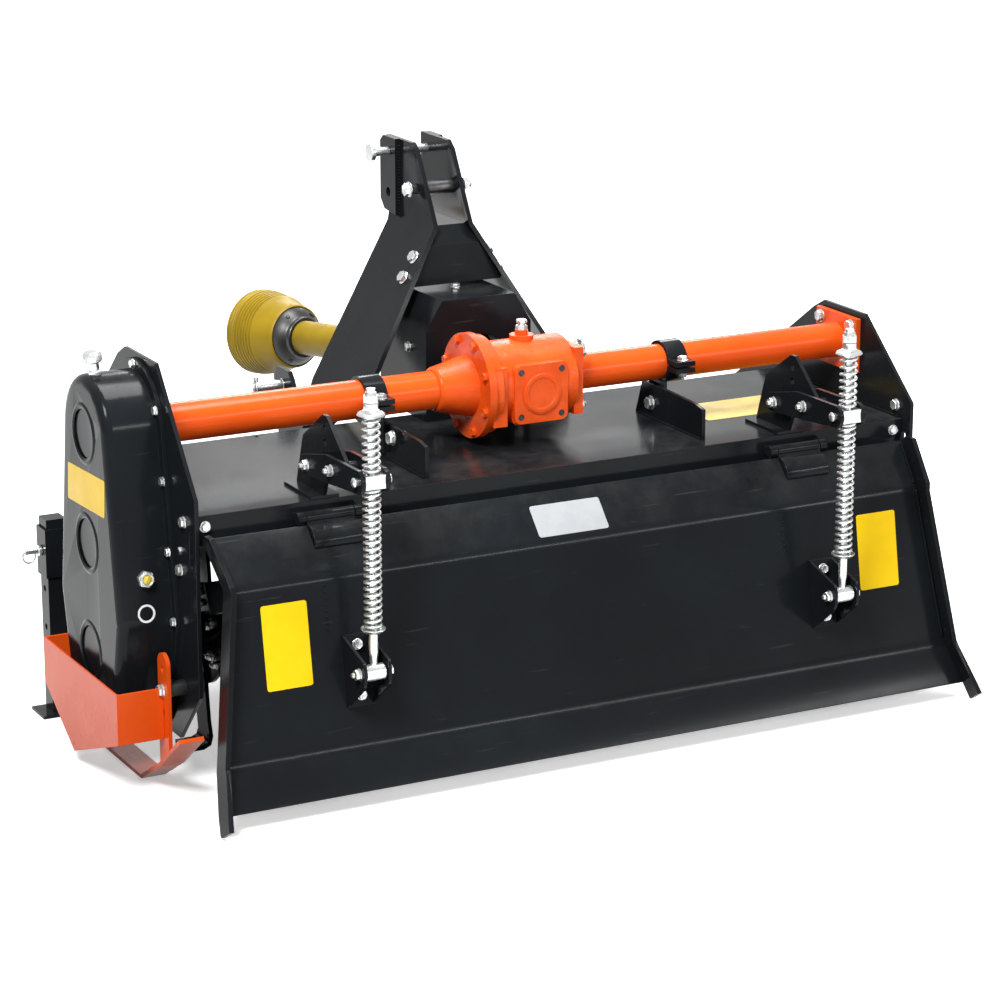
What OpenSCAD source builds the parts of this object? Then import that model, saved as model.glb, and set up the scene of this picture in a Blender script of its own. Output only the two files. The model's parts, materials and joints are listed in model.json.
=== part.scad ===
/* [Frame] */
// Distance between the inner faces of the side plates
inner_w = 1560; // [1300:10:1750]
// Thickness of the side plates
plate_t = 8; // [6:1:12]
// Height of the rotor axis above the ground
axle_z = 240; // [235:1:260]
// Spacing of the gears between the rotor and the beam
gear_pitch = 213; // [205:1:225]
// Sideways offset of the gearbox, mast and driveline from the middle
drive_x = 25; // [0:1:60]
// Height of the deck's top face above the rotor axis
deck_rise = 308; // [300:1:315]
// Thickness of the deck sheet
deck_t = 4; // [3:0.5:6]
// Distance from the rotor axis back to the deck's rear lip
deck_rear = 236; // [232:1:242]
// Width of the square front bar
bar_w = 70; // [60:1:76]
// Distance from the rotor axis forward to the middle of the front bar
bar_y = 380; // [370:1:390]
// Distance from the deck's top face down to the top of the front bar
bar_drop = 52; // [45:1:60]

/* [Beam] */
// Diameter of the left beam tube, which holds the drive shaft
tube_left_d = 76; // [70:1:82]
// Diameter of the right beam tube
tube_right_d = 72; // [66:1:78]
// Distance of the beam clamps from the gearbox, to each side
clamp_x = 337; // [320:1:350]
// Width of a beam clamp along the beam
clamp_w = 44; // [36:1:50]

/* [Gearbox] */
// Diameter of the bolted flange on the left of the gearbox
gearbox_flange_d = 210; // [180:1:220]
// Size of the square rear cover of the gearbox
cover_w = 118; // [100:1:124]
// Width of the gearbox body along the beam
gearbox_w = 170; // [160:1:180]
// Distance from the beam axis back to the gearbox body's rear face
gearbox_back = 74; // [68:1:80]

/* [Mast] */
// Gap between the two mast plates at the top link
mast_gap = 70; // [52:1:76]
// Thickness of the mast plates
mast_t = 10; // [8:1:12]
// Height of the top link pin above the ground
top_pin_z = 1052; // [1040:1:1065]
// Distance from the rotor axis forward to the top link pin
top_pin_y = 490; // [480:1:500]
// Diameter of the top link pin
top_pin_d = 19; // [16:0.1:22]
// Height from the lower link pins to the top link pin
mast_h = 460; // [450:1:470]
// Diameter of the lower link pins
lower_pin_d = 22; // [20:0.1:25]
// Distance between the shoulders of the lower link pins
hitch_span = 646; // [640:1:660]
// Angle at which the mast legs splay from upright
splay = 31; // [28:0.5:32]

/* [Driveline] */
// Angle of the driveline to the left of straight ahead
drive_left = 13; // [8:0.5:15]
// Angle of the driveline below level
drive_down = 5; // [3:0.5:7]
// Length of the driveline from the gearbox input to its front yoke's end
drive_len = 760; // [720:5:820]
// Outer diameter of the driveline's guard tube
guard_tube_d = 74; // [66:1:80]
// Rim diameter of the driveline's guard cones
cone_rim_d = 186; // [160:1:195]
// Bore of the front yoke, for a splined tractor shaft
yoke_bore_d = 35; // [32:0.1:38]

/* [Gear case] */
// Depth of the gear case outward from the side plate
case_depth = 112; // [105:1:135]
// Radius of the gear case's round top about the beam
case_top_r = 112; // [104:1:120]
// Half width of the gear case at its widest
case_half_w = 160; // [152:1:176]
// Width of the flange that bolts the gear case to its plate
case_flange_w = 20; // [16:1:24]
// Diameter of the round dishes pressed in the gear case's face
dish_d = 108; // [96:1:114]

/* [Rotor] */
// Radius that the tine tips sweep
tip_r = 226; // [215:1:230]
// Diameter of the rotor's tube
rotor_tube_d = 83; // [76:1:95]
// Diameter of the flanges that carry the tines
rotor_flange_d = 196; // [180:1:205]
// Number of tine flanges along the rotor
flange_count = 6; // [5:1:7]
// Tines on each flange, half of them bent each way
tines_each = 6; // [4:2:6]
// Thickness of the tines
tine_t = 8; // [6:0.5:9]
// Diameter of the rotor's end shafts
stub_d = 45; // [40:1:50]

/* [Tailgate] */
// Half width of the tailgate's sheet at its hinge
gate_half_w = 752; // [640:1:860]
// Thickness of the tailgate's sheet
gate_t = 4; // [3:0.5:6]
// How far the tailgate's sides flare out at its lower bend
gate_flare = 44; // [30:1:50]
// How far the tailgate's lip flares out beyond that
lip_flare = 18; // [10:1:24]
// Thickness of the bars along the tailgate's sides
gate_bar_t = 10; // [8:1:12]
// How far the side bars stand out behind the sheet
gate_bar_out = 32; // [24:1:36]
// Height of the hinge axis above the rotor axis
hinge_rise = 282; // [278:1:288]
// Diameter of the hinge knuckles
knuckle_d = 24; // [20:0.5:28]

/* [Spring rods] */
// Distance of the spring rods from the middle, to each side
rod_x = 512; // [480:1:540]
// Distance from the rotor axis back to the spring rods
rod_y = 436; // [430:1:442]
// Height of the trunnions above the rotor axis
trunnion_rise = 393; // [388:1:400]
// Height of the rods' lower eyes above the rotor axis
eye_rise = 27; // [20:1:32]
// Diameter of the spring rods
rod_d = 17; // [15:0.1:19]
// Outer diameter of the springs
spring_d = 36; // [33:0.5:37]
// Diameter of the spring wire
wire_d = 6; // [5:0.1:6.5]
// Turns of each upper spring
upper_turns = 9; // [7:1:10]
// Turns of each lower spring
lower_turns = 22; // [18:1:24]

/* [Skids and stand] */
// Width of a skid's sole
skid_w = 50; // [42:1:64]
// Thickness of a skid's sole and uprights
skid_t = 8; // [6:1:10]
// Distance of each skid's uprights from the rotor axis, front and rear
upright_y = 192; // [186:1:200]
// Width of a skid's uprights
upright_w = 46; // [38:1:50]
// Side of the parking stand's square leg
leg_w = 42; // [38:1:46]
// Distance from the rotor axis forward to the stand's leg
stand_y = 345; // [335:1:350]
// Height of the top of the stand's leg
leg_top = 408; // [390:1:440]

/* [Hidden] */
$fn = 48;

charcoal = [0.15, 0.165, 0.18];
orange = [0.90, 0.37, 0.12];
zinc = [0.68, 0.69, 0.69];
steel = [0.30, 0.30, 0.31];
guard_yellow = [0.63, 0.53, 0.10];
rubber_black = [0.06, 0.06, 0.06];

// Clearance between a turning or sliding piece and its seat
run_gap = 0.3;
// Clearance by which a bolt or a loose pin fills its hole
pin_gap = 0.25;

// Room between the deck's lip and the turning hinge knuckles
hinge_gap = 5;

half_w = inner_w / 2;
plate_out = half_w + plate_t;
beam_z = axle_z + 2 * gear_pitch;
idler_z = axle_z + gear_pitch;
deck_z = axle_z + deck_rise;
bar_top = deck_z - bar_drop;
bar_front = bar_y + bar_w / 2;
bar_back = bar_y - bar_w / 2;
lower_pin_z = top_pin_z - mast_h;
hinge_y = -(deck_rear + hinge_gap + knuckle_d / 2);
hinge_z = axle_z + hinge_rise;
trunnion_z = axle_z + trunnion_rise;
eye_z = axle_z + eye_rise;

// Side view of the tailgate: from the hinge over the two bends to the lower edge
gate_path = [
    [hinge_y - 9, hinge_z - 11],
    [hinge_y - 83, hinge_z - 91],
    [hinge_y - 138, hinge_z - 412],
    [hinge_y - 186, hinge_z - 485]
];
foot_z = 4;

// Places of the skids and of the sheet guard round the gear case
case_out = plate_out + case_depth;
guard_out = case_out + 25;
guard_t = 4;
skid_x_left = plate_out + 40;
skid_x_right = plate_out + 20;

// How far the tailgate is wider at its hinge than at its upper bend
top_flare = 12;
// Front view of the tailgate's right edge, from the hinge to the lower edge
gate_edge = [
    [gate_half_w + top_flare, hinge_z],
    [gate_half_w, gate_path[1][1]],
    [gate_half_w + gate_flare, gate_path[2][1]],
    [gate_half_w + gate_flare + lip_flare, gate_path[3][1]],
    [gate_half_w + gate_flare + lip_flare + 6, foot_z]
];

// Universal joints: the fork from its hub's end to the joint's centre, its ears and the cross
fork_l = 70;
fork_hub_d = 58;
ear_drop = 28;
fork_ear_t = 12;
fork_ear_w = 34;
cross_d = 15;
cross_l = 68;
input_shaft_d = 35;
shaft_d = 44;

// Places along the driveline, from the rear joint's centre
front_joint = drive_len - fork_l;
cone_l = 120;
collar_l = 44;
collar_d = 134;
rear_start = 30;
front_start = drive_len - 150;

// Direction of the driveline and its joint at the gearbox input
input_y = 215;
input_z = beam_z - 12;
drive_dir = [
    -sin(drive_left) * cos(drive_down),
    cos(drive_left) * cos(drive_down),
    -sin(drive_down)
];

// Side view of the tailgate's side bars, which run on past the sheet to their feet
gate_bar_path = [
    gate_path[0],
    gate_path[1],
    gate_path[2],
    gate_path[3] + 36 * unit(gate_path[3] - gate_path[2])
];

// The origin lies on the ground below the middle of the part's bounding box
gate_rear = min([for (p = shifted(gate_bar_path, -gate_bar_out)) p[0]]);
drive_reach = sqrt(1 - pow(drive_dir[1], 2));
front_reach = input_y + max(
    drive_len * drive_dir[1] + fork_hub_d / 2 * drive_reach,
    (front_start + cone_l) * drive_dir[1] + cone_rim_d / 2 * drive_reach
);
side_reach = gate_edge[4][0] + gate_bar_t;
origin_x = (guard_out - side_reach) / 2;
origin_y = -(front_reach + gate_rear) / 2;

// Unit vector along v
function unit(v) = v / norm(v);
// Normal to the left of the way from a to b
function left_of(a, b) = let (d = unit(b - a)) [-d[1], d[0]];
// Direction in which corner i of an open path moves when the path shifts to its left by 1
function mitre(p, i) =
    let (
        before = left_of(p[max(i - 1, 0)], p[max(i, 1)]),
        after = left_of(p[min(i, len(p) - 2)], p[min(i + 1, len(p) - 1)])
    )
    (before + after) / (1 + before * after);
// Path shifted to its left by t
function shifted(p, t) = [for (i = [0:len(p) - 1]) p[i] + t * mitre(p, i)];
// Path in the other order
function backward(p) = [for (i = [len(p) - 1:-1:0]) p[i]];
// Outline of a sheet that follows path p between two shifts
function band(p, from, to) = concat(shifted(p, from), backward(shifted(p, to)));

// Moves a piece from the rotor's frame to the part's origin
module placed() {
    translate([origin_x, origin_y, 0])
        children();
}

// Turns a side view (forward, up) into a solid of width w along X, centred
module along_x(w) {
    rotate([90, 0, 90])
        linear_extrude(height = w, center = true)
            children();
}

// Turns a front view (right, up) into a solid from y0 to y1
module along_y(y0, y1) {
    translate([0, y1, 0])
        rotate([90, 0, 0])
            linear_extrude(height = y1 - y0)
                children();
}

// Rod of diameter d along X from x0 to x1 at the given side-view place
module rod_x_dir(d, x0, x1, at) {
    translate([x0, at[0], at[1]])
        rotate([0, 90, 0])
            cylinder(d = d, h = x1 - x0);
}

// Slot of width d and length l between its centres, upright in a side view
module slot(d, l) {
    square([d, l], center = true);
    for (s = [-1, 1])
        translate([0, s * l / 2])
            circle(d = d);
}

// Hexagon head across flats af and height h, on the Z axis
module hex_head(af, h) {
    cylinder(d = af / cos(30), h = h, $fn = 6);
}

module deck() {
    lip_y = -deck_rear;
    lip_h = 58;
    path = [
        [lip_y, deck_z - lip_h],
        [lip_y, deck_z],
        [bar_back - 90, deck_z],
        [bar_back, bar_top]
    ];
    color(charcoal)
        placed()
            along_x(inner_w)
                polygon(band(path, 0, -deck_t));
}

module front_bar() {
    wall = 5;
    color(charcoal)
        placed()
            translate([0, bar_y, bar_top - bar_w / 2])
                difference() {
                    cube([inner_w, bar_w, bar_w], center = true);
                    cube([inner_w + 2, bar_w - 2 * wall, bar_w - 2 * wall], center = true);
                }
}

// Side plate with its top at top_z, a slot for the gate's stop and the rotor's bore
module side_plate(side, top_z, bore_d) {
    rear = -(deck_rear + 28);
    bottom = axle_z - 143;
    outline = [
        [rear, deck_z + 38],
        [-88, top_z],
        [66, top_z],
        [104, top_z - 20],
        [bar_front, bar_top + 6],
        [bar_front, bar_top - bar_w - 4],
        [-rear, axle_z - 34],
        [163, bottom],
        [-163, bottom],
        [rear, axle_z - 34]
    ];
    color(charcoal)
        placed()
            translate([side * (half_w + plate_t / 2), 0, 0])
                difference() {
                    along_x(plate_t)
                        difference() {
                            polygon(outline);
                            translate([rear + 22, deck_z - 62])
                                slot(14, 56);
                        }
                    translate([0, 0, axle_z])
                        rotate([0, 90, 0])
                            cylinder(d = bore_d, h = plate_t + 2, center = true);
                }
}

module side_plate_left() {
    side_plate(-1, beam_z + 141, stub_d + 2 * run_gap);
}

module side_plate_right() {
    side_plate(1, beam_z + 70, stub_d + 2 * run_gap);
}

// Heights of a lower hitch bracket's head over the bar and the pin, and of its foot below them
hitch_high = max(bar_top + 40, lower_pin_z + 34);
hitch_low = min(bar_top - bar_w, lower_pin_z - 40);

// Outline of a lower hitch bracket, standing on the front bar
module hitch_outline() {
    polygon([
        [bar_front, hitch_low],
        [bar_front, bar_top],
        [bar_back, bar_top],
        [bar_back, bar_top + 40],
        [top_pin_y - 74, hitch_high],
        [top_pin_y - 16, hitch_high],
        [top_pin_y, hitch_high - 20],
        [top_pin_y, lower_pin_z - 40],
        [bar_front + 40, hitch_low]
    ]);
}

lower_pin_y = top_pin_y - 40;
// Diameter of a lower link pin where it goes through its bracket
shank_d = lower_pin_d + 4;

module hitch_bracket(side) {
    color(charcoal)
        placed()
            translate([drive_x + side * (hitch_span / 2 - mast_t / 2), 0, 0])
                difference() {
                    along_x(mast_t)
                        hitch_outline();
                    translate([0, lower_pin_y, lower_pin_z])
                        rotate([0, 90, 0])
                            cylinder(d = shank_d + 2 * pin_gap, h = mast_t + 2, center = true);
                }
}

module hitch_bracket_left() {
    hitch_bracket(-1);
}

module hitch_bracket_right() {
    hitch_bracket(1);
}

// Lower link pin: a shank through its bracket with a collar inside and a thinner free end outside
module hitch_pin(side) {
    free = 68;
    collar_d = 40;
    collar_t = 14;
    color(zinc)
        placed()
            translate([drive_x + side * hitch_span / 2, lower_pin_y, lower_pin_z])
                rotate([0, side * 90, 0]) {
                    cylinder(d = lower_pin_d, h = free);
                    translate([0, 0, -mast_t - collar_t])
                        cylinder(d = shank_d, h = mast_t + collar_t);
                    translate([0, 0, -mast_t - collar_t])
                        cylinder(d = collar_d, h = collar_t);
                }
}

module hitch_pin_left() {
    hitch_pin(-1);
}

module hitch_pin_right() {
    hitch_pin(1);
}

knee_z = top_pin_z - 130;
mast_half = mast_gap / 2;
// Front view of the right mast plate's inner face, from the top over the knee to the front bar
mast_path = [
    [mast_half, top_pin_z + 30],
    [mast_half, knee_z],
    [mast_half + (knee_z - bar_top) * tan(splay), bar_top]
];
spare_drop = 86;
spacer_at = [top_pin_y - 112, top_pin_z - 62];
doubler_t = 10;

// Mast plate: upright at the top link, bent at the knee and splayed to the front bar
module mast_plate(side) {
    front = top_pin_y + 38;
    leg_reach = hitch_span / 2 - mast_t;
    leg_z = max(lower_pin_z, bar_top + 40);
    color(charcoal)
        placed()
            translate([drive_x, 0, 0])
                difference() {
                    union() {
                        intersection() {
                            along_y(bar_back - 160, front)
                                polygon([for (p = band(mast_path, 0, mast_t)) [side * p[0], p[1]]]);
                            along_x(2 * leg_reach)
                                polygon([
                                    [front - 10, top_pin_z + 30],
                                    [top_pin_y - 92, top_pin_z + 30],
                                    [top_pin_y - 112, top_pin_z + 14],
                                    [top_pin_y - 194, knee_z],
                                    [top_pin_y - 262, leg_z + 20],
                                    [bar_back, bar_top],
                                    [bar_front, bar_top],
                                    [top_pin_y - 22, leg_z],
                                    [top_pin_y + 4, knee_z - 14],
                                    [front - 10, knee_z + 14]
                                ]);
                        }
                        translate([side * (mast_half + mast_t + doubler_t / 2), 0, 0])
                            along_x(doubler_t)
                                polygon([
                                    [top_pin_y - 34, knee_z],
                                    [top_pin_y + 20, knee_z + 6],
                                    [front, knee_z + 26],
                                    [front, top_pin_z + 18],
                                    [front - 14, top_pin_z + 30],
                                    [top_pin_y - 34, top_pin_z + 30]
                                ]);
                    }
                    for (drop = [0, spare_drop])
                        rod_x_dir(
                            top_pin_d + 2 * pin_gap,
                            -mast_gap, mast_gap,
                            [top_pin_y, top_pin_z - drop]
                        );
                    rod_x_dir(13, -mast_gap, mast_gap, spacer_at);
                }
}

module mast_plate_left() {
    mast_plate(-1);
}

module mast_plate_right() {
    mast_plate(1);
}

// Sheet between the mast legs, bent forward at the top, with a flange along each leg
module mast_brace() {
    brace_t = 5;
    top_z = knee_z - 36;
    bottom_z = knee_z - 118;
    rear_y = top_pin_y - 196;
    lean = 26;
    flange = 34;
    reach_top = mast_half + (knee_z - top_z) * tan(splay);
    reach_bottom = mast_half + (knee_z - bottom_z) * tan(splay);
    color(charcoal)
        placed()
            translate([drive_x, 0, 0]) {
                along_y(rear_y, rear_y + brace_t)
                    polygon([
                        [-reach_top, top_z], [reach_top, top_z],
                        [reach_bottom, bottom_z], [-reach_bottom, bottom_z]
                    ]);
                intersection() {
                    along_x(2 * reach_top)
                        polygon(band([[rear_y, top_z], [rear_y + lean, knee_z]], 0, -brace_t));
                    along_y(rear_y - brace_t, rear_y + lean + 2 * brace_t)
                        polygon([
                            [-reach_top, top_z], [reach_top, top_z],
                            [mast_half, knee_z], [-mast_half, knee_z]
                        ]);
                }
                for (s = [-1, 1])
                    along_y(rear_y, rear_y + flange)
                        polygon([
                            [s * reach_top, top_z], [s * reach_bottom, bottom_z],
                            [s * (reach_bottom - brace_t / cos(splay)), bottom_z],
                            [s * (reach_top - brace_t / cos(splay)), top_z]
                        ]);
            }
}

// Spacer tube between the mast plates with the bolt through it
module mast_spacer() {
    color(steel)
        placed()
            translate([drive_x, spacer_at[0], spacer_at[1]])
                rotate([0, 90, 0]) {
                    cylinder(d = 30, h = mast_gap, center = true);
                    cylinder(d = 12, h = mast_gap + 2 * mast_t + 30, center = true);
                    for (s = [-1, 1])
                        translate([0, 0, s * (mast_half + mast_t + 5)])
                            cylinder(d = 19 / cos(30), h = 10, center = true, $fn = 6);
                }
}

// Top link pin with a disc head at its left end
module top_link_pin() {
    reach = mast_half + mast_t + doubler_t;
    color(zinc)
        placed()
            translate([drive_x, top_pin_y, top_pin_z])
                rotate([0, 90, 0]) {
                    translate([0, 0, -reach - 34])
                        cylinder(d = top_pin_d, h = 2 * reach + 34 + 22);
                    translate([0, 0, -reach - 44])
                        cylinder(d = 36, h = 10);
                }
}

// Tunnel over the gearbox input, with a rear wall that opens round the input housing
module pto_shield() {
    shield_t = 4;
    back = input_y - 30;
    front = bar_y + 20;
    half_top = 83;
    half_low = 120;
    top_z = beam_z + 130;
    knee = beam_z + 69;
    path = [
        [half_low, deck_z], [half_low, knee], [half_top, top_z],
        [-half_top, top_z], [-half_low, knee], [-half_low, deck_z]
    ];
    color(charcoal)
        placed()
            translate([drive_x, 0, 0])
                difference() {
                    union() {
                        along_y(back, front)
                            polygon(band(path, 0, shield_t));
                        along_y(back, back + shield_t)
                            polygon(path);
                    }
                    translate([0, back - 1, input_z])
                        rotate([-90, 0, 0])
                            cylinder(d = 130, h = shield_t + 2);
                }
}

// Left face of the gearbox's round flange, and the length of the neck that holds the left beam tube
flange_left = drive_x - gearbox_w / 2 - 38;
neck_l = 70;

// Cast gearbox: necked round flange, barrel, square right flange, rear cover and input housing
module gearbox() {
    flange_t = 16;
    ring_t = 18;
    neck_d = 122;
    half = gearbox_w / 2;
    barrel_d = 166;
    round_r = 18;
    corner_r = 14;
    cover_t = 12;
    cover_z = beam_z - 10;
    boss_z = beam_z + barrel_d / 2 - 8;
    color(orange)
        placed() {
            rod_x_dir(gearbox_flange_d, flange_left, flange_left + flange_t, [0, beam_z]);
            rod_x_dir(
                gearbox_flange_d - 12,
                flange_left + flange_t, flange_left + flange_t + ring_t,
                [0, beam_z]
            );
            translate([flange_left + flange_t, -gearbox_back - 14, cover_z - cover_w / 2])
                cube([ring_t + 12, gearbox_back + 14, cover_w]);
            rod_x_dir(barrel_d, flange_left + flange_t, drive_x + half, [0, beam_z]);
            translate([flange_left - neck_l, 0, beam_z])
                rotate([0, 90, 0])
                    cylinder(d1 = tube_left_d + 14, d2 = neck_d, h = neck_l);
            translate([drive_x + half + flange_t / 2, 0, beam_z])
                cube([flange_t + 4, 136, 136], center = true);
            translate([drive_x, 0, cover_z])
                hull()
                    for (x = [-1, 1], y = [-1, 1], z = [-1, 1])
                        translate([
                            x * (cover_w / 2 + 4 - round_r),
                            y * (gearbox_back - round_r),
                            z * (cover_w / 2 + 4 - round_r)
                        ])
                            sphere(r = round_r, $fn = 16);
            along_y(-gearbox_back - cover_t, -gearbox_back + round_r)
                translate([drive_x, cover_z])
                    hull()
                        for (x = [-1, 1], z = [-1, 1])
                            translate([x * (cover_w / 2 - corner_r), z * (cover_w / 2 - corner_r)])
                                circle(r = corner_r, $fn = 32);
            translate([drive_x, -gearbox_back - cover_t - 3, cover_z])
                rotate([-90, 0, 0])
                    cylinder(d = cover_w - 34, h = cover_t);
            translate([drive_x, gearbox_back - 6, input_z])
                rotate([-90, 0, 0]) {
                    cylinder(d = 112, h = 62);
                    cylinder(d = input_shaft_d, h = input_y - fork_l - gearbox_back + 6);
                }
            translate([drive_x, 0, boss_z]) {
                cylinder(d = 48, h = 16);
                cylinder(d = 26, h = 26);
                cylinder(d = 15, h = 44);
            }
        }
}

beam_flange_t = 12;

module beam_left() {
    color(orange)
        placed() {
            rod_x_dir(tube_left_d, -half_w, flange_left - neck_l, [0, beam_z]);
            rod_x_dir(tube_left_d + 64, -half_w, -half_w + beam_flange_t, [0, beam_z]);
        }
}

module beam_right() {
    start = drive_x + gearbox_w / 2 + 18;
    color(orange)
        placed() {
            rod_x_dir(tube_right_d, start, half_w, [0, beam_z]);
            translate([half_w - beam_flange_t / 2, 0, beam_z])
                cube([beam_flange_t, 150, 114], center = true);
        }
}

bracket_t = 8;
clamp_t = 7;

// Strap round a beam tube, with ears at the rear and a lug down to its deck bracket
module beam_clamp(side, tube_d) {
    inner_d = tube_d + 2 * run_gap;
    outer_d = inner_d + 2 * clamp_t;
    ear = 30;
    lug_bottom = deck_z + 12;
    color(charcoal)
        placed()
            translate([drive_x + side * clamp_x, 0, beam_z])
                difference() {
                    union() {
                        rotate([0, 90, 0])
                            cylinder(d = outer_d, h = clamp_w, center = true);
                        translate([-clamp_w / 2, -outer_d / 2 - ear, -12])
                            cube([clamp_w, ear + 10, 24]);
                        translate([-(side * clamp_w + bracket_t) / 2, -30, lug_bottom - beam_z])
                            cube([bracket_t, 60, beam_z - lug_bottom - inner_d / 2]);
                    }
                    rotate([0, 90, 0])
                        cylinder(d = inner_d, h = clamp_w + 2, center = true);
                    translate([-clamp_w, -outer_d / 2 - ear - 1, -2])
                        cube([2 * clamp_w, ear + 12, 4]);
                }
}

module beam_clamp_left() {
    beam_clamp(-1, tube_left_d);
}

module beam_clamp_right() {
    beam_clamp(1, tube_right_d);
}

// Upright plate on the deck that a beam clamp's lug bolts to
module deck_bracket(side, tube_d) {
    top = beam_z - tube_d / 2 - run_gap - clamp_t - 3;
    color(charcoal)
        placed()
            translate([drive_x + side * (clamp_x - clamp_w / 2 - bracket_t), 0, 0])
                along_x(bracket_t)
                    polygon([
                        [-deck_rear + 40, deck_z],
                        [-deck_rear + 40, deck_z + 62],
                        [-deck_rear + 70, deck_z + 68],
                        [-30, top],
                        [44, top],
                        [70, deck_z]
                    ]);
}

module deck_bracket_left() {
    deck_bracket(-1, tube_left_d);
}

module deck_bracket_right() {
    deck_bracket(1, tube_right_d);
}

arm_gap = 42;
arm_t = 8;
pivot_d = 14;
// Places of the two bolts that hold the spring arms
arm_bolts = [[-(deck_rear - 20), deck_z + 64], [-(deck_rear + 88), deck_z + 80]];

// Perforated plate on the deck with the two bolt bushes that carry the spring arms
module spring_bracket(side) {
    foot_t = 6;
    color(charcoal)
        placed()
            translate([side * rod_x, 0, 0]) {
                translate([0, -deck_rear + 66, deck_z + foot_t / 2])
                    cube([58, 124, foot_t], center = true);
                along_x(bracket_t)
                    difference() {
                        polygon([
                            [-deck_rear + 6, deck_z + foot_t],
                            [-deck_rear + 126, deck_z + foot_t],
                            [-deck_rear + 94, deck_z + 102],
                            [-deck_rear + 2, deck_z + 163],
                            [-deck_rear - 14, deck_z + 163],
                            [-deck_rear - 96, deck_z + 94],
                            [-deck_rear - 104, deck_z + 66],
                            [-deck_rear - 10, deck_z + 44]
                        ]);
                        for (rise = [84, 111, 138])
                            translate([-deck_rear - 6, deck_z + rise])
                                circle(d = 13);
                    }
                for (at = arm_bolts)
                    rod_x_dir(26, -arm_gap / 2, arm_gap / 2, at);
            }
}

module spring_bracket_left() {
    spring_bracket(-1);
}

module spring_bracket_right() {
    spring_bracket(1);
}

// Two arms beside a bracket, bored for the trunnion's pivots at their rear ends
module spring_arms(side) {
    end_r = 22;
    front = arm_bolts[0];
    color(charcoal)
        placed()
            translate([side * rod_x, 0, 0])
                for (s = [-1, 1])
                    difference() {
                        translate([s * (arm_gap + arm_t) / 2, 0, 0])
                            along_x(arm_t) {
                                polygon([
                                    [front[0] + 22, front[1] + 16],
                                    [front[0] + 22, front[1] - 20],
                                    [arm_bolts[1][0] + 28, arm_bolts[1][1] - 30],
                                    [-rod_y, trunnion_z - end_r],
                                    [-rod_y, trunnion_z + end_r],
                                    [arm_bolts[1][0] + 28, arm_bolts[1][1] + 24]
                                ]);
                                translate([-rod_y, trunnion_z])
                                    circle(r = end_r);
                            }
                        rod_x_dir(pivot_d + 2 * run_gap, -2 * arm_gap, 2 * arm_gap, [-rod_y, trunnion_z]);
                        for (at = arm_bolts)
                            rod_x_dir(13, -2 * arm_gap, 2 * arm_gap, at);
                    }
}

module spring_arms_left() {
    spring_arms(-1);
}

module spring_arms_right() {
    spring_arms(1);
}

case_low_r = 90;
case_low_z = axle_z - 40;
// Height at which the gear case is widest, and the lean of its walls above that
case_side_z = axle_z + 90;
wall_lean = atan((case_half_w - case_top_r) / (beam_z - case_side_z));

// Side view of the gear case, grown outward by g
module case_outline(g) {
    hull() {
        translate([0, beam_z])
            circle(r = case_top_r + g, $fn = 40);
        for (s = [-1, 1]) {
            translate([s * (case_half_w - 60), case_side_z])
                circle(r = 60 + g, $fn = 32);
            translate([s * 40, case_low_z])
                circle(r = case_low_r + g, $fn = 32);
        }
    }
}

// Pressed gear case: bolting flange, drawn walls with a rounded outer edge and three round dishes
module gear_case() {
    flange_t = 8;
    edge_r = 18;
    step = 22.5;
    dish_depth = 3;
    face = case_depth - flange_t;
    color(charcoal)
        placed()
            translate([-plate_out, 0, 0])
                difference() {
                    rotate([90, 0, -90])
                        mirror([1, 0, 0]) {
                            linear_extrude(height = flange_t)
                                case_outline(case_flange_w);
                            hull() {
                                translate([0, 0, flange_t])
                                    linear_extrude(height = 1)
                                        case_outline(0);
                                for (a = [0:step:90])
                                    translate([0, 0, case_depth - edge_r + edge_r * sin(a) - 0.5])
                                        linear_extrude(height = 0.5)
                                            case_outline(edge_r * (cos(a) - 1));
                            }
                        }
                    for (z = [axle_z, idler_z, beam_z])
                        translate([-case_depth, 0, z])
                            rotate([0, 90, 0])
                                cylinder(d1 = dish_d, d2 = dish_d - 10, h = dish_depth);
                }
}

// Breather: a stem with a ribbed cap, leaning back from the top of the gear case
module breather() {
    color(zinc)
        placed()
            translate([-plate_out - case_depth + 28, 0, beam_z + case_top_r]) {
                cylinder(d = 14, h = 26);
                cylinder(d = 22, h = 8, $fn = 6);
                translate([0, 0, 26])
                    cylinder(d = 36, h = 20);
            }
}

// Oil sight plug: a hexagon with a round window, on the rear wall of the gear case
module oil_sight_plug() {
    plug_z = idler_z - 38;
    seat_gap = 1;
    wall_y = case_half_w - (plug_z - case_side_z) * tan(wall_lean) + seat_gap;
    color(zinc)
        placed()
            translate([-plate_out - case_depth / 2, -wall_y, plug_z])
                rotate([90 - wall_lean, 0, 0]) {
                    hex_head(34, 12);
                    cylinder(d = 26, h = 18);
                }
}

// Sheet guard wrapped round the front, side and rear of the gear case's lower end
module case_guard() {
    wall_y = upright_y;
    inner = skid_x_left + skid_t / 2;
    low = 26;
    low_y = 45;
    top = axle_z - 26;
    plan = [
        [-inner, wall_y], [-guard_out + guard_t, wall_y],
        [-guard_out + guard_t, -wall_y], [-inner, -wall_y]
    ];
    color(orange)
        placed()
            intersection() {
                linear_extrude(height = axle_z)
                    polygon(band(plan, -guard_t, 0));
                along_x(4 * half_w)
                    polygon([
                        [wall_y + 10, top], [-wall_y - 10, top],
                        [-wall_y - 10, low + 90], [low_y, low], [wall_y + 10, low + 98]
                    ]);
            }
}

skid_bolt_z = axle_z - 32;

// Height inside the sole's thickness at y, where an upright is welded on
function foot_z_at(sole, y) = lookup(y, sole) + skid_t / 2;

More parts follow.
